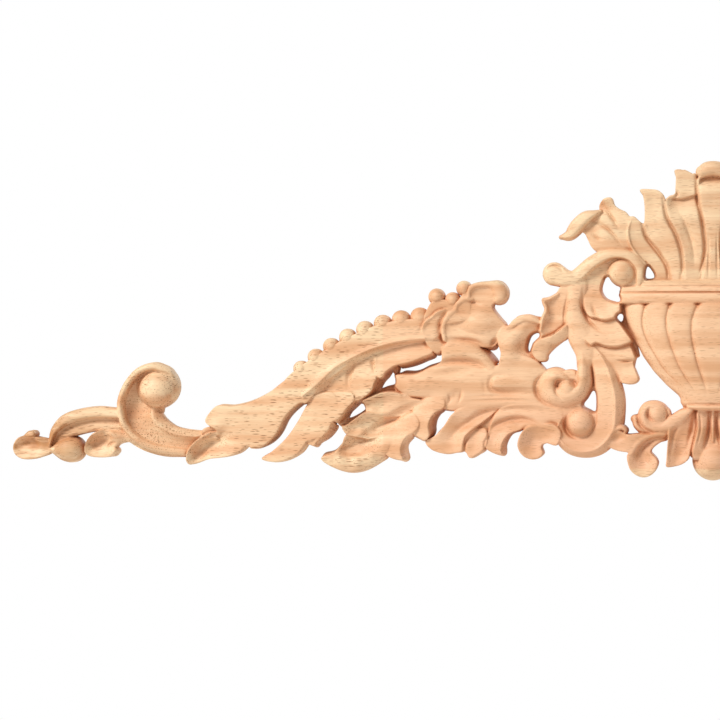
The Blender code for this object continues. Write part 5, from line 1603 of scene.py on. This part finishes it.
@dataclass
class Urn(Carving):
    """The gadrooned bowl and its moulded rim; its tables run upwards, from z to z."""

    profile: Points = (
        (-62.5, 20.3), (-59.5, 21), (-57, 22.5), (-54, 22.7), (-51.5, 24.4), (-44.5, 32.5),
        (-35, 41.3), (-25, 48.4), (-15, 53.5), (-9, 56.3), (-3, 59), (3, 61), (8, 61.7),
        (12.5, 62),
    )
    belly: Points = (
        (-62.5, 15.5), (-59.5, 16.5), (-57, 19), (-50, 19.5), (-30, 21.7), (0, 23.2), (12.5, 22.2),
    )
    edge: float = 10.5
    belly_power: float = 2.5
    grooves: Sequence[Points] = (
        ((-50, -18), (-41, -26), (-36.5, -31), (-31, -35.5), (-25, -39), (-20, -42), (-15, -45),
         (-9, -47.5), (-3, -49), (3, -49), (8, -48), (12.5, -47)),
        ((-50, -11.5), (-45, -15), (-39, -19), (-32, -23), (-25, -26), (-17, -29), (-10, -31),
         (-4, -32.3), (2, -32.5), (7, -31.5), (12.5, -30)),
        ((-50, -4), (-43, -6), (-36, -8.5), (-28, -11), (-20, -13), (-12, -14.5), (-5, -15),
         (1, -14.5), (7, -12.5), (12.5, -10.5)),
    )
    groove_depth: float = 2.4
    groove_power: float = 5.0
    groove_span: Pair = (-52.0, 14.0)
    cap_depth: float = 2.2
    cap_reach: Pair = (3.0, 2.5)
    mouth_dents: Points = ((12, 2.8, 1, 1.8), (10.4, 1, 2, 1.2))
    left: float = -64.0
    foot: float = -62.0
    mouth: float = 12.5
    under_rim: float = 12.8
    draft: float = 0.8
    rim_window: Points = ((-68, 11), (0, 30))
    rim: Pair = (12.3, 29.0)
    rim_ground: float = 10.0
    rim_bow: float = 74.0
    rim_arris: float = 1.2
    rim_edge: float = 0.3
    rim_levels: Points = (
        (12.3, 16.5), (12.7, 20.3), (15, 21), (19.4, 21), (19.8, 18), (20.5, 18.2), (20.9, 19.6),
        (24.2, 19), (24.5, 18), (25.4, 19.4), (26.4, 18.6), (26.8, 16.8), (27.3, 17.6),
        (28.6, 17), (29, 14),
    )
    rim_ends: Points = (
        (12.5, 64.3), (14, 65.5), (17, 66), (20, 65.3), (24.5, 65), (24.6, 50), (29, 48),
    )

    def carve(self) -> None:
        """Turn the bowl, gouge its gadroons and lay the rim over it."""
        self.carve_bowl()
        self.carve_rim()

    def carve_bowl(self) -> None:
        """Carve the bowl: a flattened half round with a swelling between each two grooves."""
        window = np.array([(self.left, self.foot), (0, self.mouth)])
        patch = self.wood.patch(window, RING_MARGIN)
        half = np.interp(patch.z, *np.array(self.profile).T)
        top = np.interp(patch.z, *np.array(self.belly).T)
        round_by = dome(np.clip(patch.x / half, -1, 1), self.belly_power)
        height = self.edge + (top - self.edge) * round_by
        lines = [-half] + [np.interp(patch.z, *np.array(line).T) for line in self.grooves]
        lines.append(-lines[-1])
        start, fading = self.groove_span
        fade = np.clip((patch.z - start) / fading, 0, 1)
        for left, right in zip(lines, lines[1:]):
            middle, wide = (left + right) / 2, (right - left) / 2
            share = (patch.x - middle) / wide
            swell = dome(np.clip(share, -1, 1), self.groove_power)
            sunk = self.groove_depth * (1 - swell) * fade
            within = (share > -1) & (share <= 1)
            height = np.where(within, height - sunk, height)
            reach = self.cap_reach[0] + self.cap_reach[1] * np.abs(share)
            cap = np.clip((self.mouth - patch.z) / reach, 0, 1)
            height = np.where(within, height - self.cap_depth * (1 - dome(1 - cap, 2)), height)
        ends = np.minimum(patch.z - self.foot, self.under_rim - patch.z)
        cover = np.minimum(half + patch.x, ends)
        edge = np.full(height.shape, self.edge)
        self.wood.lay(patch, cover, height, edge, self.draft, blend=0)
        for line in self.grooves:
            for dent in self.mouth_dents:
                self.wood.dent(line[-1][1], *dent)

    def carve_rim(self) -> None:
        """Carve the straight mouldings across the mouth."""
        low, high = self.rim
        patch = self.wood.patch(np.array(self.rim_window), MARGIN)
        inward = np.interp(patch.z, *np.array(self.rim_ends).T) + patch.x
        section = np.interp(patch.z, *np.array(self.rim_levels).T)
        bowed = (section - self.rim_ground) * dome(patch.x / self.rim_bow, 2)
        turned = np.clip(self.rim_arris - inward, 0, self.rim_arris)
        eased_by = self.rim_arris - np.sqrt(np.clip(self.rim_arris**2 - turned**2, 0, None))
        height = self.rim_ground + bowed - eased_by
        cover = np.minimum(inward, np.minimum(patch.z - low, high - patch.z))
        self.wood.lay(patch, cover, height, height - self.rim_edge, self.draft, blend=0)


@dataclass
class BeadRow:
    """Beads along a shallow arc, each a little larger or smaller than the last."""

    start: Pair = (-291.0, -33.2)
    end: Pair = (-206.3, 3.4)
    rise: float = 7.4
    count: int = 8
    first_radius: float = 5.6
    last_radius: float = 6.8
    crown: float = 15.7
    skirt: float = 1.5

    def tree(self) -> Tree:
        """Build the tree: an arc, points along it, and a bead of its own size on each.

        Returns:
            The tree, whose inputs are the sizes and the material.
        """
        tree = bpy.data.node_groups.new("bead_row", "GeometryNodeTree")
        for name, kind in (
            ("Start", "Vector"), ("Middle", "Vector"), ("End", "Vector"), ("Count", "Int"),
            ("First Radius", "Float"), ("Last Radius", "Float"), ("Crown", "Float"),
            ("Skirt", "Float"), ("Wood", "Material"),
        ):
            tree.interface.new_socket(name, in_out="INPUT", socket_type="NodeSocket" + kind)
        tree.interface.new_socket("Beads", in_out="OUTPUT", socket_type="NodeSocketGeometry")
        given = node(tree, "NodeGroupInput").outputs
        arc = node(tree, "GeometryNodeCurveQuadraticBezier", {
            "Resolution": ARC_STEPS, "Start": given["Start"], "Middle": given["Middle"],
            "End": given["End"]})
        places = node(tree, "GeometryNodeCurveToPoints", {
            "Curve": arc.outputs[0], "Count": given["Count"]}, mode="COUNT")
        last = reckon(tree, "SUBTRACT", given["Count"], 1.0)
        share = reckon(tree, "DIVIDE", node(tree, "GeometryNodeInputIndex").outputs[0], last)
        radius = node(tree, "ShaderNodeMapRange", {
            "Value": share, "To Min": given["First Radius"],
            "To Max": given["Last Radius"]}).outputs[0]
        domed = reckon(tree, "DIVIDE", given["Crown"], reckon(tree, "ADD", given["Skirt"], 1.0))
        size = node(tree, "ShaderNodeCombineXYZ", {"X": radius, "Y": domed, "Z": radius})
        set_out = node(tree, "GeometryNodeInstanceOnPoints", {
            "Points": places.outputs["Points"], "Instance": self.bullet(tree, given["Skirt"]),
            "Scale": size.outputs[0]})
        solid = node(tree, "GeometryNodeRealizeInstances", {"Geometry": set_out.outputs[0]})
        smooth = node(tree, "GeometryNodeSetShadeSmooth", {"Geometry": solid.outputs[0]})
        dressed = node(tree, "GeometryNodeSetMaterial", {
            "Geometry": smooth.outputs[0], "Material": given["Wood"]})
        node(tree, "NodeGroupOutput", {"Beads": dressed.outputs[0]})
        return tree

    def bullet(self, tree: Tree, skirt: Socket) -> Socket:
        """Add one bead of radius one: a half ball on a straight skirt.

        Args:
            tree: The tree it goes in.
            skirt: Depth of the skirt in radii.

        Returns:
            The bead's geometry.
        """
        ball = node(tree, "GeometryNodeMeshIcoSphere", {
            "Radius": 1.0, "Subdivisions": BEAD_SUBDIVISIONS})
        place = node(tree, "ShaderNodeSeparateXYZ", {
            0: node(tree, "GeometryNodeInputPosition").outputs[0]}).outputs
        front = reckon(tree, "LESS_THAN", place["Y"], BEHIND_MIDDLE)
        kept = reckon(tree, "MULTIPLY", reckon(tree, "SUBTRACT", place["Y"], skirt), front)
        moved = node(tree, "ShaderNodeCombineXYZ", {
            "X": place["X"], "Y": kept, "Z": place["Z"]})
        return node(tree, "GeometryNodeSetPosition", {
            "Geometry": ball.outputs["Mesh"], "Position": moved.outputs[0]}).outputs[0]

    def middle(self) -> Vector:
        """Find the point that bends the arc.

        Returns:
            Its x and z in millimetres.
        """
        start, end = Vector(self.start), Vector(self.end)
        chord = end - start
        up = Vector((-chord.y, chord.x)).normalized()
        return (start + end) / 2 + up * self.rise * 2

    def build(self, name: str, wood: bpy.types.Material) -> bpy.types.Object:
        """Make the beads of the left half as one plain mesh.

        Args:
            name: Name of the object.
            wood: Their material.

        Returns:
            The beads, halves of which lie behind the back plane.
        """
        start, middle, end = (
            Vector((spot[0], 0, spot[1])) * MM for spot in (self.start, self.middle(), self.end))
        values = {
            "Start": start, "Middle": middle, "End": end, "Count": self.count,
            "First Radius": self.first_radius * MM, "Last Radius": self.last_radius * MM,
            "Crown": self.crown * MM, "Skirt": self.skirt, "Wood": wood,
        }
        return grown(name, self.tree(), values)


def node(tree: Tree, kind: str, inputs: dict | None = None, **settings: object) -> Node:
    """Add a node.

    Args:
        tree: The tree it goes in.
        kind: Its type.
        inputs: Socket name or number to a value, or to the output linked to it.
        settings: Its own properties.

    Returns:
        The node.
    """
    made = tree.nodes.new(kind)
    for name, value in settings.items():
        setattr(made, name, value)
    for key, value in (inputs or {}).items():
        socket = made.inputs[key]
        if isinstance(value, Socket):
            tree.links.new(value, socket)
        else:
            socket.default_value = value
    return made


def reckon(tree: Tree, way: str, *values: Socket | float) -> Socket:
    """Add one step of arithmetic on these values to a tree."""
    return node(tree, "ShaderNodeMath", dict(enumerate(values)), operation=way).outputs[0]


def grown(name: str, tree: Tree, values: dict) -> bpy.types.Object:
    """Run a Geometry Nodes tree and keep its result as a plain mesh.

    Args:
        name: Name of the object.
        tree: The tree.
        values: Each named input's value.

    Returns:
        An object at the origin with the tree's mesh and no modifier.
    """
    holder = bpy.data.objects.new(name, bpy.data.meshes.new(name + "_seed"))
    bpy.context.scene.collection.objects.link(holder)
    modifier = holder.modifiers.new("grow", "NODES")
    modifier.node_group = tree
    for item in tree.interface.items_tree:
        if item.item_type == "SOCKET" and item.in_out == "INPUT":
            modifier[item.identifier] = values[item.name]
    apply_modifiers(holder)
    return holder


def linear(code: str) -> tuple[float, float, float, float]:
    """Turn a colour to linear light.

    Args:
        code: The colour as sRGB in hex.

    Returns:
        Red, green and blue, and full alpha.
    """
    shares = [int(code[k:k + 2], 16) / 255 for k in (1, 3, 5)]
    light = [s / 12.92 if s <= 0.04045 else ((s + 0.055) / 1.055) ** 2.4 for s in shares]
    return (*light, 1.0)


@dataclass
class WoodNodes:
    """A shader tree in the making, with the place of each point of the wood."""

    tree: Tree
    place: Socket

    def axis(self, name: str) -> Socket:
        """The place along one axis."""
        return node(self.tree, "ShaderNodeSeparateXYZ", {0: self.place}).outputs[name]

    def from_middle(self) -> Socket:
        """The distance from the middle of the length."""
        return reckon(self.tree, "ABSOLUTE", self.axis("X"))

    def stretched(self, length: float, depth: float, width: float) -> Socket:
        """The place counted in cells of this many millimetres, long along the grain."""
        return node(self.tree, "ShaderNodeMapping", {"Vector": self.place, "Scale": (
            1 / (length * MM), 1 / (depth * MM), 1 / (width * MM))}).outputs[0]

    def noise(self, size: Pair, detail: float) -> Socket:
        """Noise drawn out along the grain; size is its length and width in millimetres."""
        return node(self.tree, "ShaderNodeTexNoise", {
            "Vector": self.stretched(size[0], size[1], size[1]), "Scale": 1.0,
            "Detail": detail}).outputs["Fac"]

    def ramp(self, value: Socket, span: Pair, levels: Pair = (0.0, 1.0)) -> Socket:
        """Go from the first level to the second over this span of the value."""
        return node(self.tree, "ShaderNodeMapRange", {
            "Value": value, "From Min": span[0], "From Max": span[1], "To Min": levels[0],
            "To Max": levels[1]}).outputs[0]

    def ramp_mm(self, value: Socket, span: Pair, levels: Pair = (0.0, 1.0)) -> Socket:
        """The same over a span in millimetres."""
        return self.ramp(value, (span[0] * MM, span[1] * MM), levels)

    def mixed(
        self, share: Socket, first: Socket | str, second: str, way: str = "MIX"
    ) -> Socket:
        """Mix two colours.

        Args:
            share: How much of the second.
            first: A colour, or what gives one.
            second: The other colour.
            way: How they are mixed.

        Returns:
            The mixed colour.
        """
        under = linear(first) if isinstance(first, str) else first
        return node(self.tree, "ShaderNodeMix", {0: share, 6: under, 7: linear(second)},
                    data_type="RGBA", blend_type=way).outputs[2]


@dataclass(frozen=True)
class Rubberwood:
    """Bare sanded rubberwood: pale tan timber with open pores in short dark dashes.

    The boards differ a little in tint where they are glued, the growth rings are faint broad
    bands, and the pores show as dashes a few millimetres long along the grain and as dots on
    faces that cut across it. Shade is painted into the recesses: the colour is darkened where
    the surface is enclosed. The surface is dry and dull. Lengths are in millimetres; a pair is
    a length and a width, a span from and to, or two levels.
    """

    yellow: str = "#F6D6AF"
    pink: str = "#F8CDA6"
    rose: str = "#F0BD98"
    band: str = "#DEA579"
    pore: str = "#8E5226"
    stained: str = "#BE8450"
    # Painted shade: the colour that enclosed places are darkened towards.
    painted_shade_colour: str = "#C69068"
    roughness: float = 0.55
    specular: float = 0.42
    rings: Pair = (160.0, 9.0)
    ring_span: Pair = (0.42, 0.66)
    ring_levels: Pair = (0.0, 0.85)
    fibres: Pair = (30.0, 0.55)
    fibre_span: Pair = (0.45, 0.75)
    fibre_levels: Pair = (0.0, 0.42)
    streaks: Pair = (34.0, 5.0)
    streak_span: Pair = (0.34, 0.52)
    stain_span: Pair = (430.0, 470.0)
    stain_levels: Pair = (0.0, 0.75)
    dash_length: float = 6.2
    least_dash: float = 0.18
    dot_length: float = 1.3
    least_dot: float = 0.22
    pore_spacing: float = 0.76
    pore_depth: float = 3.6
    pore_mouth: Pair = (0.6, 1.3)
    pore_bump: float = 0.3
    pore_dent: float = 0.2
    crowds: Pair = (60.0, 12.0)
    crowd_span: Pair = (0.32, 0.66)
    crowd_levels: Pair = (0.0, 0.34)
    middle_levels: Pair = (0.45, 1.0)
    tilt_span: Pair = (0.14, 0.4)
    dip: Pair = (397.0, -73.0)
    dip_span: Pair = (34.0, 22.0)
    # Painted shade in the recesses: how far and with how many rays enclosure is judged, and how it
    # sets the darkening.
    painted_shade_reach: float = 14.0
    painted_shade_rays: int = 8
    painted_shade_span: Pair = (0.35, 0.92)
    painted_shade_levels: Pair = (0.55, 0.0)
    side_joint: float = 232.0
    upper_joint: float = 26.0
    lower_joint: float = -103.5
    glue_line: float = 0.6
    pink_above: Pair = (-74.0, -44.0)
    pink_beyond: Pair = (150.0, 215.0)

    def material(self) -> bpy.types.Material:
        """Build the shader.

        Returns:
            The wood, whose grain runs along X.
        """
        made = bpy.data.materials.new("bare_rubberwood")
        made.use_nodes = True
        tree = made.node_tree
        tree.nodes.clear()
        nodes = WoodNodes(tree, node(tree, "ShaderNodeTexCoord").outputs["Object"])
        across = reckon(tree, "MAXIMUM", self.across_grain(nodes), self.dips(nodes))
        dashes = self.pores(nodes, self.dash_length, self.least_dash)
        dots = self.pores(nodes, self.dot_length, self.least_dot)
        pores = node(tree, "ShaderNodeMix", {0: across, 2: dashes, 3: dots}).outputs[0]
        rings = nodes.ramp(nodes.noise(self.rings, 3.0), self.ring_span, self.ring_levels)
        fibres = nodes.ramp(nodes.noise(self.fibres, 2.0), self.fibre_span, self.fibre_levels)
        wood = self.boards(nodes)
        for share, tone in (
            (rings, self.band), (fibres, self.band), (self.stain(nodes), self.stained),
            (pores, self.pore),
        ):
            wood = nodes.mixed(share, wood, tone)
        # Painted shade: the colour is darkened where the surface is enclosed, where shade falls.
        wood = nodes.mixed(self.painted_shade(nodes), wood, self.painted_shade_colour, "MULTIPLY")
        bump = node(tree, "ShaderNodeBump", {
            "Height": pores, "Strength": self.pore_bump, "Distance": self.pore_dent * MM},
            invert=True)
        shader = node(tree, "ShaderNodeBsdfPrincipled", {
            "Base Color": wood, "Roughness": self.roughness,
            "Specular IOR Level": self.specular, "Normal": bump.outputs[0]})
        node(tree, "ShaderNodeOutputMaterial", {"Surface": shader.outputs[0]})
        return made

    def past_joint(self, nodes: WoodNodes, value: Socket, joint: float) -> Socket:
        """Nothing short of a glued joint and one past it."""
        return nodes.ramp_mm(value, (joint - self.glue_line, joint + self.glue_line))

    def boards(self, nodes: WoodNodes) -> Socket:
        """Tint each glued board: yellower at the end, along the top and at the foot.

        Args:
            nodes: The material's tree.

        Returns:
            The tint.
        """
        up = nodes.axis("Z")
        end = self.past_joint(nodes, nodes.from_middle(), self.side_joint)
        top = self.past_joint(nodes, up, self.upper_joint)
        foot = reckon(nodes.tree, "SUBTRACT", 1.0, self.past_joint(nodes, up, self.lower_joint))
        yellow = reckon(nodes.tree, "MAXIMUM", reckon(nodes.tree, "MAXIMUM", end, top), foot)
        pale = reckon(
            nodes.tree, "MAXIMUM", nodes.ramp_mm(up, self.pink_above),
            nodes.ramp_mm(nodes.from_middle(), self.pink_beyond))
        return nodes.mixed(yellow, nodes.mixed(pale, self.rose, self.pink), self.yellow)

    def stain(self, nodes: WoodNodes) -> Socket:
        """Streak the ends of the board with brown.

        Args:
            nodes: The material's tree.

        Returns:
            How brown each point is.
        """
        end = nodes.ramp_mm(nodes.from_middle(), self.stain_span, self.stain_levels)
        streak = nodes.ramp(nodes.noise(self.streaks, 2.0), self.streak_span)
        return reckon(nodes.tree, "MULTIPLY", end, streak)

    def across_grain(self, nodes: WoodNodes) -> Socket:
        """How far the surface cuts across the grain, which runs along X."""
        facing = node(nodes.tree, "ShaderNodeSeparateXYZ", {
            0: node(nodes.tree, "ShaderNodeNewGeometry").outputs["Normal"]})
        return nodes.ramp(reckon(nodes.tree, "ABSOLUTE", facing.outputs["X"]), self.tilt_span)

    def dips(self, nodes: WoodNodes) -> Socket:
        """Let the grain dive into the board in the hollow of each C-scroll.

        Args:
            nodes: The material's tree.

        Returns:
            How steeply it dives.
        """
        spot = node(nodes.tree, "ShaderNodeCombineXYZ", {
            0: nodes.from_middle(), 2: nodes.axis("Z")})
        away = node(nodes.tree, "ShaderNodeVectorMath", {
            0: spot.outputs[0], 1: (self.dip[0] * MM, 0, self.dip[1] * MM)},
            operation="DISTANCE")
        return nodes.ramp_mm(away.outputs["Value"], self.dip_span)

    def pores(self, nodes: WoodNodes, length: float, least: float) -> Socket:
        """Open pores: a thin cell each, larger in some bands than in others.

        Args:
            nodes: The material's tree.
            length: Length of a cell in millimetres.
            least: Size of the smallest pore as a share of its cell.

        Returns:
            How deep in a pore each point is.
        """
        tree = nodes.tree
        cells = nodes.stretched(length, self.pore_depth, self.pore_spacing)
        vessel = node(tree, "ShaderNodeTexVoronoi", {"Vector": cells, "Scale": 1.0}).outputs
        own = node(tree, "ShaderNodeSeparateColor", {0: vessel["Color"]}).outputs
        crowd = nodes.ramp(nodes.noise(self.crowds, 2.0), self.crowd_span, self.crowd_levels)
        size = reckon(tree, "ADD", reckon(tree, "MULTIPLY", own[0], crowd), least)
        near = reckon(tree, "DIVIDE", vessel["Distance"], size)
        end = self.past_joint(nodes, nodes.from_middle(), self.side_joint)
        depth = reckon(tree, "MULTIPLY", own[1], nodes.ramp(end, (0.0, 1.0), self.middle_levels))
        return reckon(tree, "MULTIPLY", nodes.ramp(near, self.pore_mouth, (1.0, 0.0)), depth)

    def painted_shade(self, nodes: WoodNodes) -> Socket:
        """How enclosed the surface is, for the painted shade that darkens the recesses."""
        open_sky = node(nodes.tree, "ShaderNodeAmbientOcclusion", {
            "Distance": self.painted_shade_reach * MM}, samples=self.painted_shade_rays, only_local=True)
        return nodes.ramp(open_sky.outputs["AO"], self.painted_shade_span, self.painted_shade_levels)


@dataclass(frozen=True)
class PaleFloor:
    """A plain matt floor, pale so that it lights the work from below."""

    colour: str = "#F4F2EE"
    roughness: float = 0.9

    def material(self) -> bpy.types.Material:
        """Build the shader.

        Returns:
            The floor's material.
        """
        made = bpy.data.materials.new("pale_floor")
        made.use_nodes = True
        shader = made.node_tree.nodes["Principled BSDF"]
        shader.inputs["Base Color"].default_value = linear(self.colour)
        shader.inputs["Roughness"].default_value = self.roughness
        return made


@dataclass
class Pediment:
    """The whole carved board."""

    left: float = -503.2
    low: float = -115.2
    high: float = 115.2
    step: float = 0.4
    triangles: int = 86000
    arris_angle: float = 50.0

    def relief(self) -> Relief:
        """Carve every family of forms, in the order in which they overlap.

        Returns:
            The sanded relief.
        """
        wood = Relief(self.left, self.low, self.high, self.step)
        for family in (
            TipLeaves, CScroll, Wing, WingCrest, Fern, Acanthus, ShellCluster, Curls, StemLeaf,
            Volutes, SideLobes, CrestLeaf, TopScroll, Flames, Urn, Foot, Holes,
        ):
            family(wood).carve()
            LOG.info("carved %s", family.__name__)
        wood.sand()
        return wood

    def build(self, wood: bpy.types.Material) -> bpy.types.Object:
        """Make the board with its beads as one closed mesh.

        Args:
            wood: Its material.

        Returns:
            The finished piece, at the origin.
        """
        mesh = Shell(self.relief()).mesh("pediment_half")
        board = bpy.data.objects.new("pediment_carving", mesh)
        bpy.context.scene.collection.objects.link(board)
        mesh.materials.append(wood)
        LOG.info("half board: %d triangles", len(mesh.polygons))
        thin = board.modifiers.new("fewer faces", "DECIMATE")
        thin.ratio = min(1.0, self.triangles / len(mesh.polygons))
        apply_modifiers(board)
        whole(board)
        shell_beads = BeadRow(
            start=(-194.2, 17.6), end=(-174.8, 23.4), rise=-5.6, count=3, first_radius=6.0,
            last_radius=5.6, crown=16.8, skirt=1.3)
        for row in (
            BeadRow().build("wing_beads", wood), shell_beads.build("shell_beads", wood),
        ):
            both_sides(row)
            union = board.modifiers.new("beads", "BOOLEAN")
            union.operation, union.solver, union.object = "UNION", "MANIFOLD", row
            apply_modifiers(board)
            bpy.data.objects.remove(row)
        flat_back(board)
        board.data.shade_smooth()
        board.data.set_sharp_from_angle(angle=math.radians(self.arris_angle))
        LOG.info("pediment: %d faces", len(board.data.polygons))
        return board


def apply_modifiers(piece: bpy.types.Object) -> None:
    """Replace an object's mesh with what its modifiers make of it.

    Args:
        piece: The object, which has none left afterwards.
    """
    bpy.context.view_layer.update()
    graph = bpy.context.evaluated_depsgraph_get()
    mesh = bpy.data.meshes.new_from_object(piece.evaluated_get(graph))
    piece.modifiers.clear()
    piece.data = mesh


def add_mirror_image(bm: bmesh.types.BMesh) -> None:
    """Add the mirror image of everything in a mesh, about the centre line.

    Args:
        bm: The mesh.
    """
    copy = bmesh.ops.duplicate(bm, geom=bm.verts[:] + bm.edges[:] + bm.faces[:])["geom"]
    for item in copy:
        if isinstance(item, bmesh.types.BMVert):
            item.co.x = -item.co.x
    bmesh.ops.reverse_faces(bm, faces=[f for f in copy if isinstance(f, bmesh.types.BMFace)])


def whole(half: bpy.types.Object) -> None:
    """Close the half on the centre line and add its mirror image.

    Args:
        half: The left half, which becomes the whole.
    """
    bm = bmesh.new()
    bm.from_mesh(half.data)
    for edge in bm.edges:
        if edge.is_boundary:
            for vertex in edge.verts:
                vertex.co.x = 0.0
    add_mirror_image(bm)
    seam = [vertex for vertex in bm.verts if abs(vertex.co.x) < SEAM / 10]
    bmesh.ops.remove_doubles(bm, verts=seam, dist=SEAM)
    bm.to_mesh(half.data)
    LOG.info("open edges after the mirror: %d", sum(not edge.is_manifold for edge in bm.edges))
    bm.free()


def both_sides(piece: bpy.types.Object) -> None:
    """Add the beads' mirror image, and cut both flat a little in front of the back plane.

    Args:
        piece: The beads of the left half.
    """
    bm = bmesh.new()
    bm.from_mesh(piece.data)
    add_mirror_image(bm)
    bmesh.ops.bisect_plane(
        bm, geom=bm.verts[:] + bm.edges[:] + bm.faces[:],
        plane_co=(0, -BEAD_DEPTH * MM, 0), plane_no=(0, 1, 0), clear_outer=True)
    bmesh.ops.holes_fill(bm, edges=[edge for edge in bm.edges if edge.is_boundary])
    bm.to_mesh(piece.data)
    bm.free()


def flat_back(piece: bpy.types.Object) -> None:
    """Lay every point of the back exactly on the back plane.

    Args:
        piece: The whole board.
    """
    for vertex in piece.data.vertices:
        if vertex.co.y > -BACK_SLACK:
            vertex.co.y = 0.0


@dataclass(frozen=True)
class Lamp:
    """A square soft light that faces the work; its power is in watts."""

    name: str
    place: Spot
    size: float
    power: float
    colour: str
    aim: Spot = (-0.2, 0.0, 0.0)

    def hang(self) -> None:
        """Hang the lamp in its place."""
        light = bpy.data.lights.new(self.name, "AREA")
        light.size, light.energy = self.size, self.power
        light.color = linear(self.colour)[:3]
        lamp = bpy.data.objects.new(self.name, light)
        lamp.location = self.place
        lamp.visible_camera = False
        aim = Vector(self.aim) - Vector(self.place)
        lamp.rotation_euler = aim.to_track_quat("-Z", "Y").to_euler()
        bpy.context.scene.collection.objects.link(lamp)


@dataclass
class Studio:
    """Soft light from the upper left, a pale floor below, and the camera."""

    lamps: Sequence[Lamp] = (
        Lamp("key", (-2.2, -2.05, 2.3), size=1.0, power=120.0, colour="#FFFDF8"),
        Lamp("fill", (1.2, -2.4, 0.2), size=2.2, power=3.0, colour="#FFF6EC"),
        Lamp("back", (1.3, 2.3, 1.3), size=1.6, power=32.0, colour="#FFFDF8"),
    )
    soft_light: float = 0.33
    floor_size: float = 4.0
    floor_forward: float = 1.4
    floor_drop: float = 0.45
    distance: float = 2.3
    target: Spot = (-0.2486, -0.012, -0.0271)
    view_width: float = 0.5132
    sensor: float = 36.0
    clip: float = 0.01

    def build(self) -> None:
        """Set up the floor, the lights, the background and the camera."""
        self.floor()
        for lamp in self.lamps:
            lamp.hang()
        self.world()
        self.camera()
        bpy.context.scene.view_settings.view_transform = "Standard"

    def floor(self) -> None:
        """Lay the floor."""
        bpy.ops.mesh.primitive_plane_add(
            size=self.floor_size, location=(0, -self.floor_forward, -self.floor_drop))
        floor = bpy.context.object
        floor.name = "floor"
        floor.data.materials.append(PaleFloor().material())

    def world(self) -> None:
        """Surround the work with white that is seen at full strength and lights it softly."""
        world = bpy.data.worlds.new("studio")
        world.use_nodes = True
        tree = world.node_tree
        tree.nodes.clear()
        seen = node(tree, "ShaderNodeLightPath")
        soft, plain = (
            node(tree, "ShaderNodeBackground", {"Color": linear("#FFFFFF"), "Strength": strength})
            for strength in (self.soft_light, 1.0))
        both = node(tree, "ShaderNodeMixShader", {
            0: seen.outputs["Is Camera Ray"], 1: soft.outputs[0], 2: plain.outputs[0]})
        node(tree, "ShaderNodeOutputWorld", {"Surface": both.outputs[0]})
        bpy.context.scene.world = world

    def camera(self) -> None:
        """Stand the camera in front of the urn and turn it to the left half."""
        lens = bpy.data.cameras.new("camera")
        camera = bpy.data.objects.new("camera", lens)
        camera.location = (0.0, -self.distance, self.target[2])
        aim = Vector(self.target) - camera.location
        camera.rotation_euler = aim.to_track_quat("-Z", "Y").to_euler()
        lens.sensor_width = self.sensor
        lens.lens = self.sensor * aim.length / (self.view_width * abs(aim.normalized().y))
        lens.clip_start = self.clip
        bpy.context.scene.collection.objects.link(camera)
        bpy.context.scene.camera = camera


def main() -> None:
    """Build the pediment and the studio in order."""
    logging.basicConfig(level=logging.INFO, format="%(message)s")
    board = Pediment().build(Rubberwood().material())
    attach(board, "root")
    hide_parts("carved_pediment")
    LOG.info("%s rides on root", board.name)
    Studio().build()


if __name__ == "__main__":
    main()
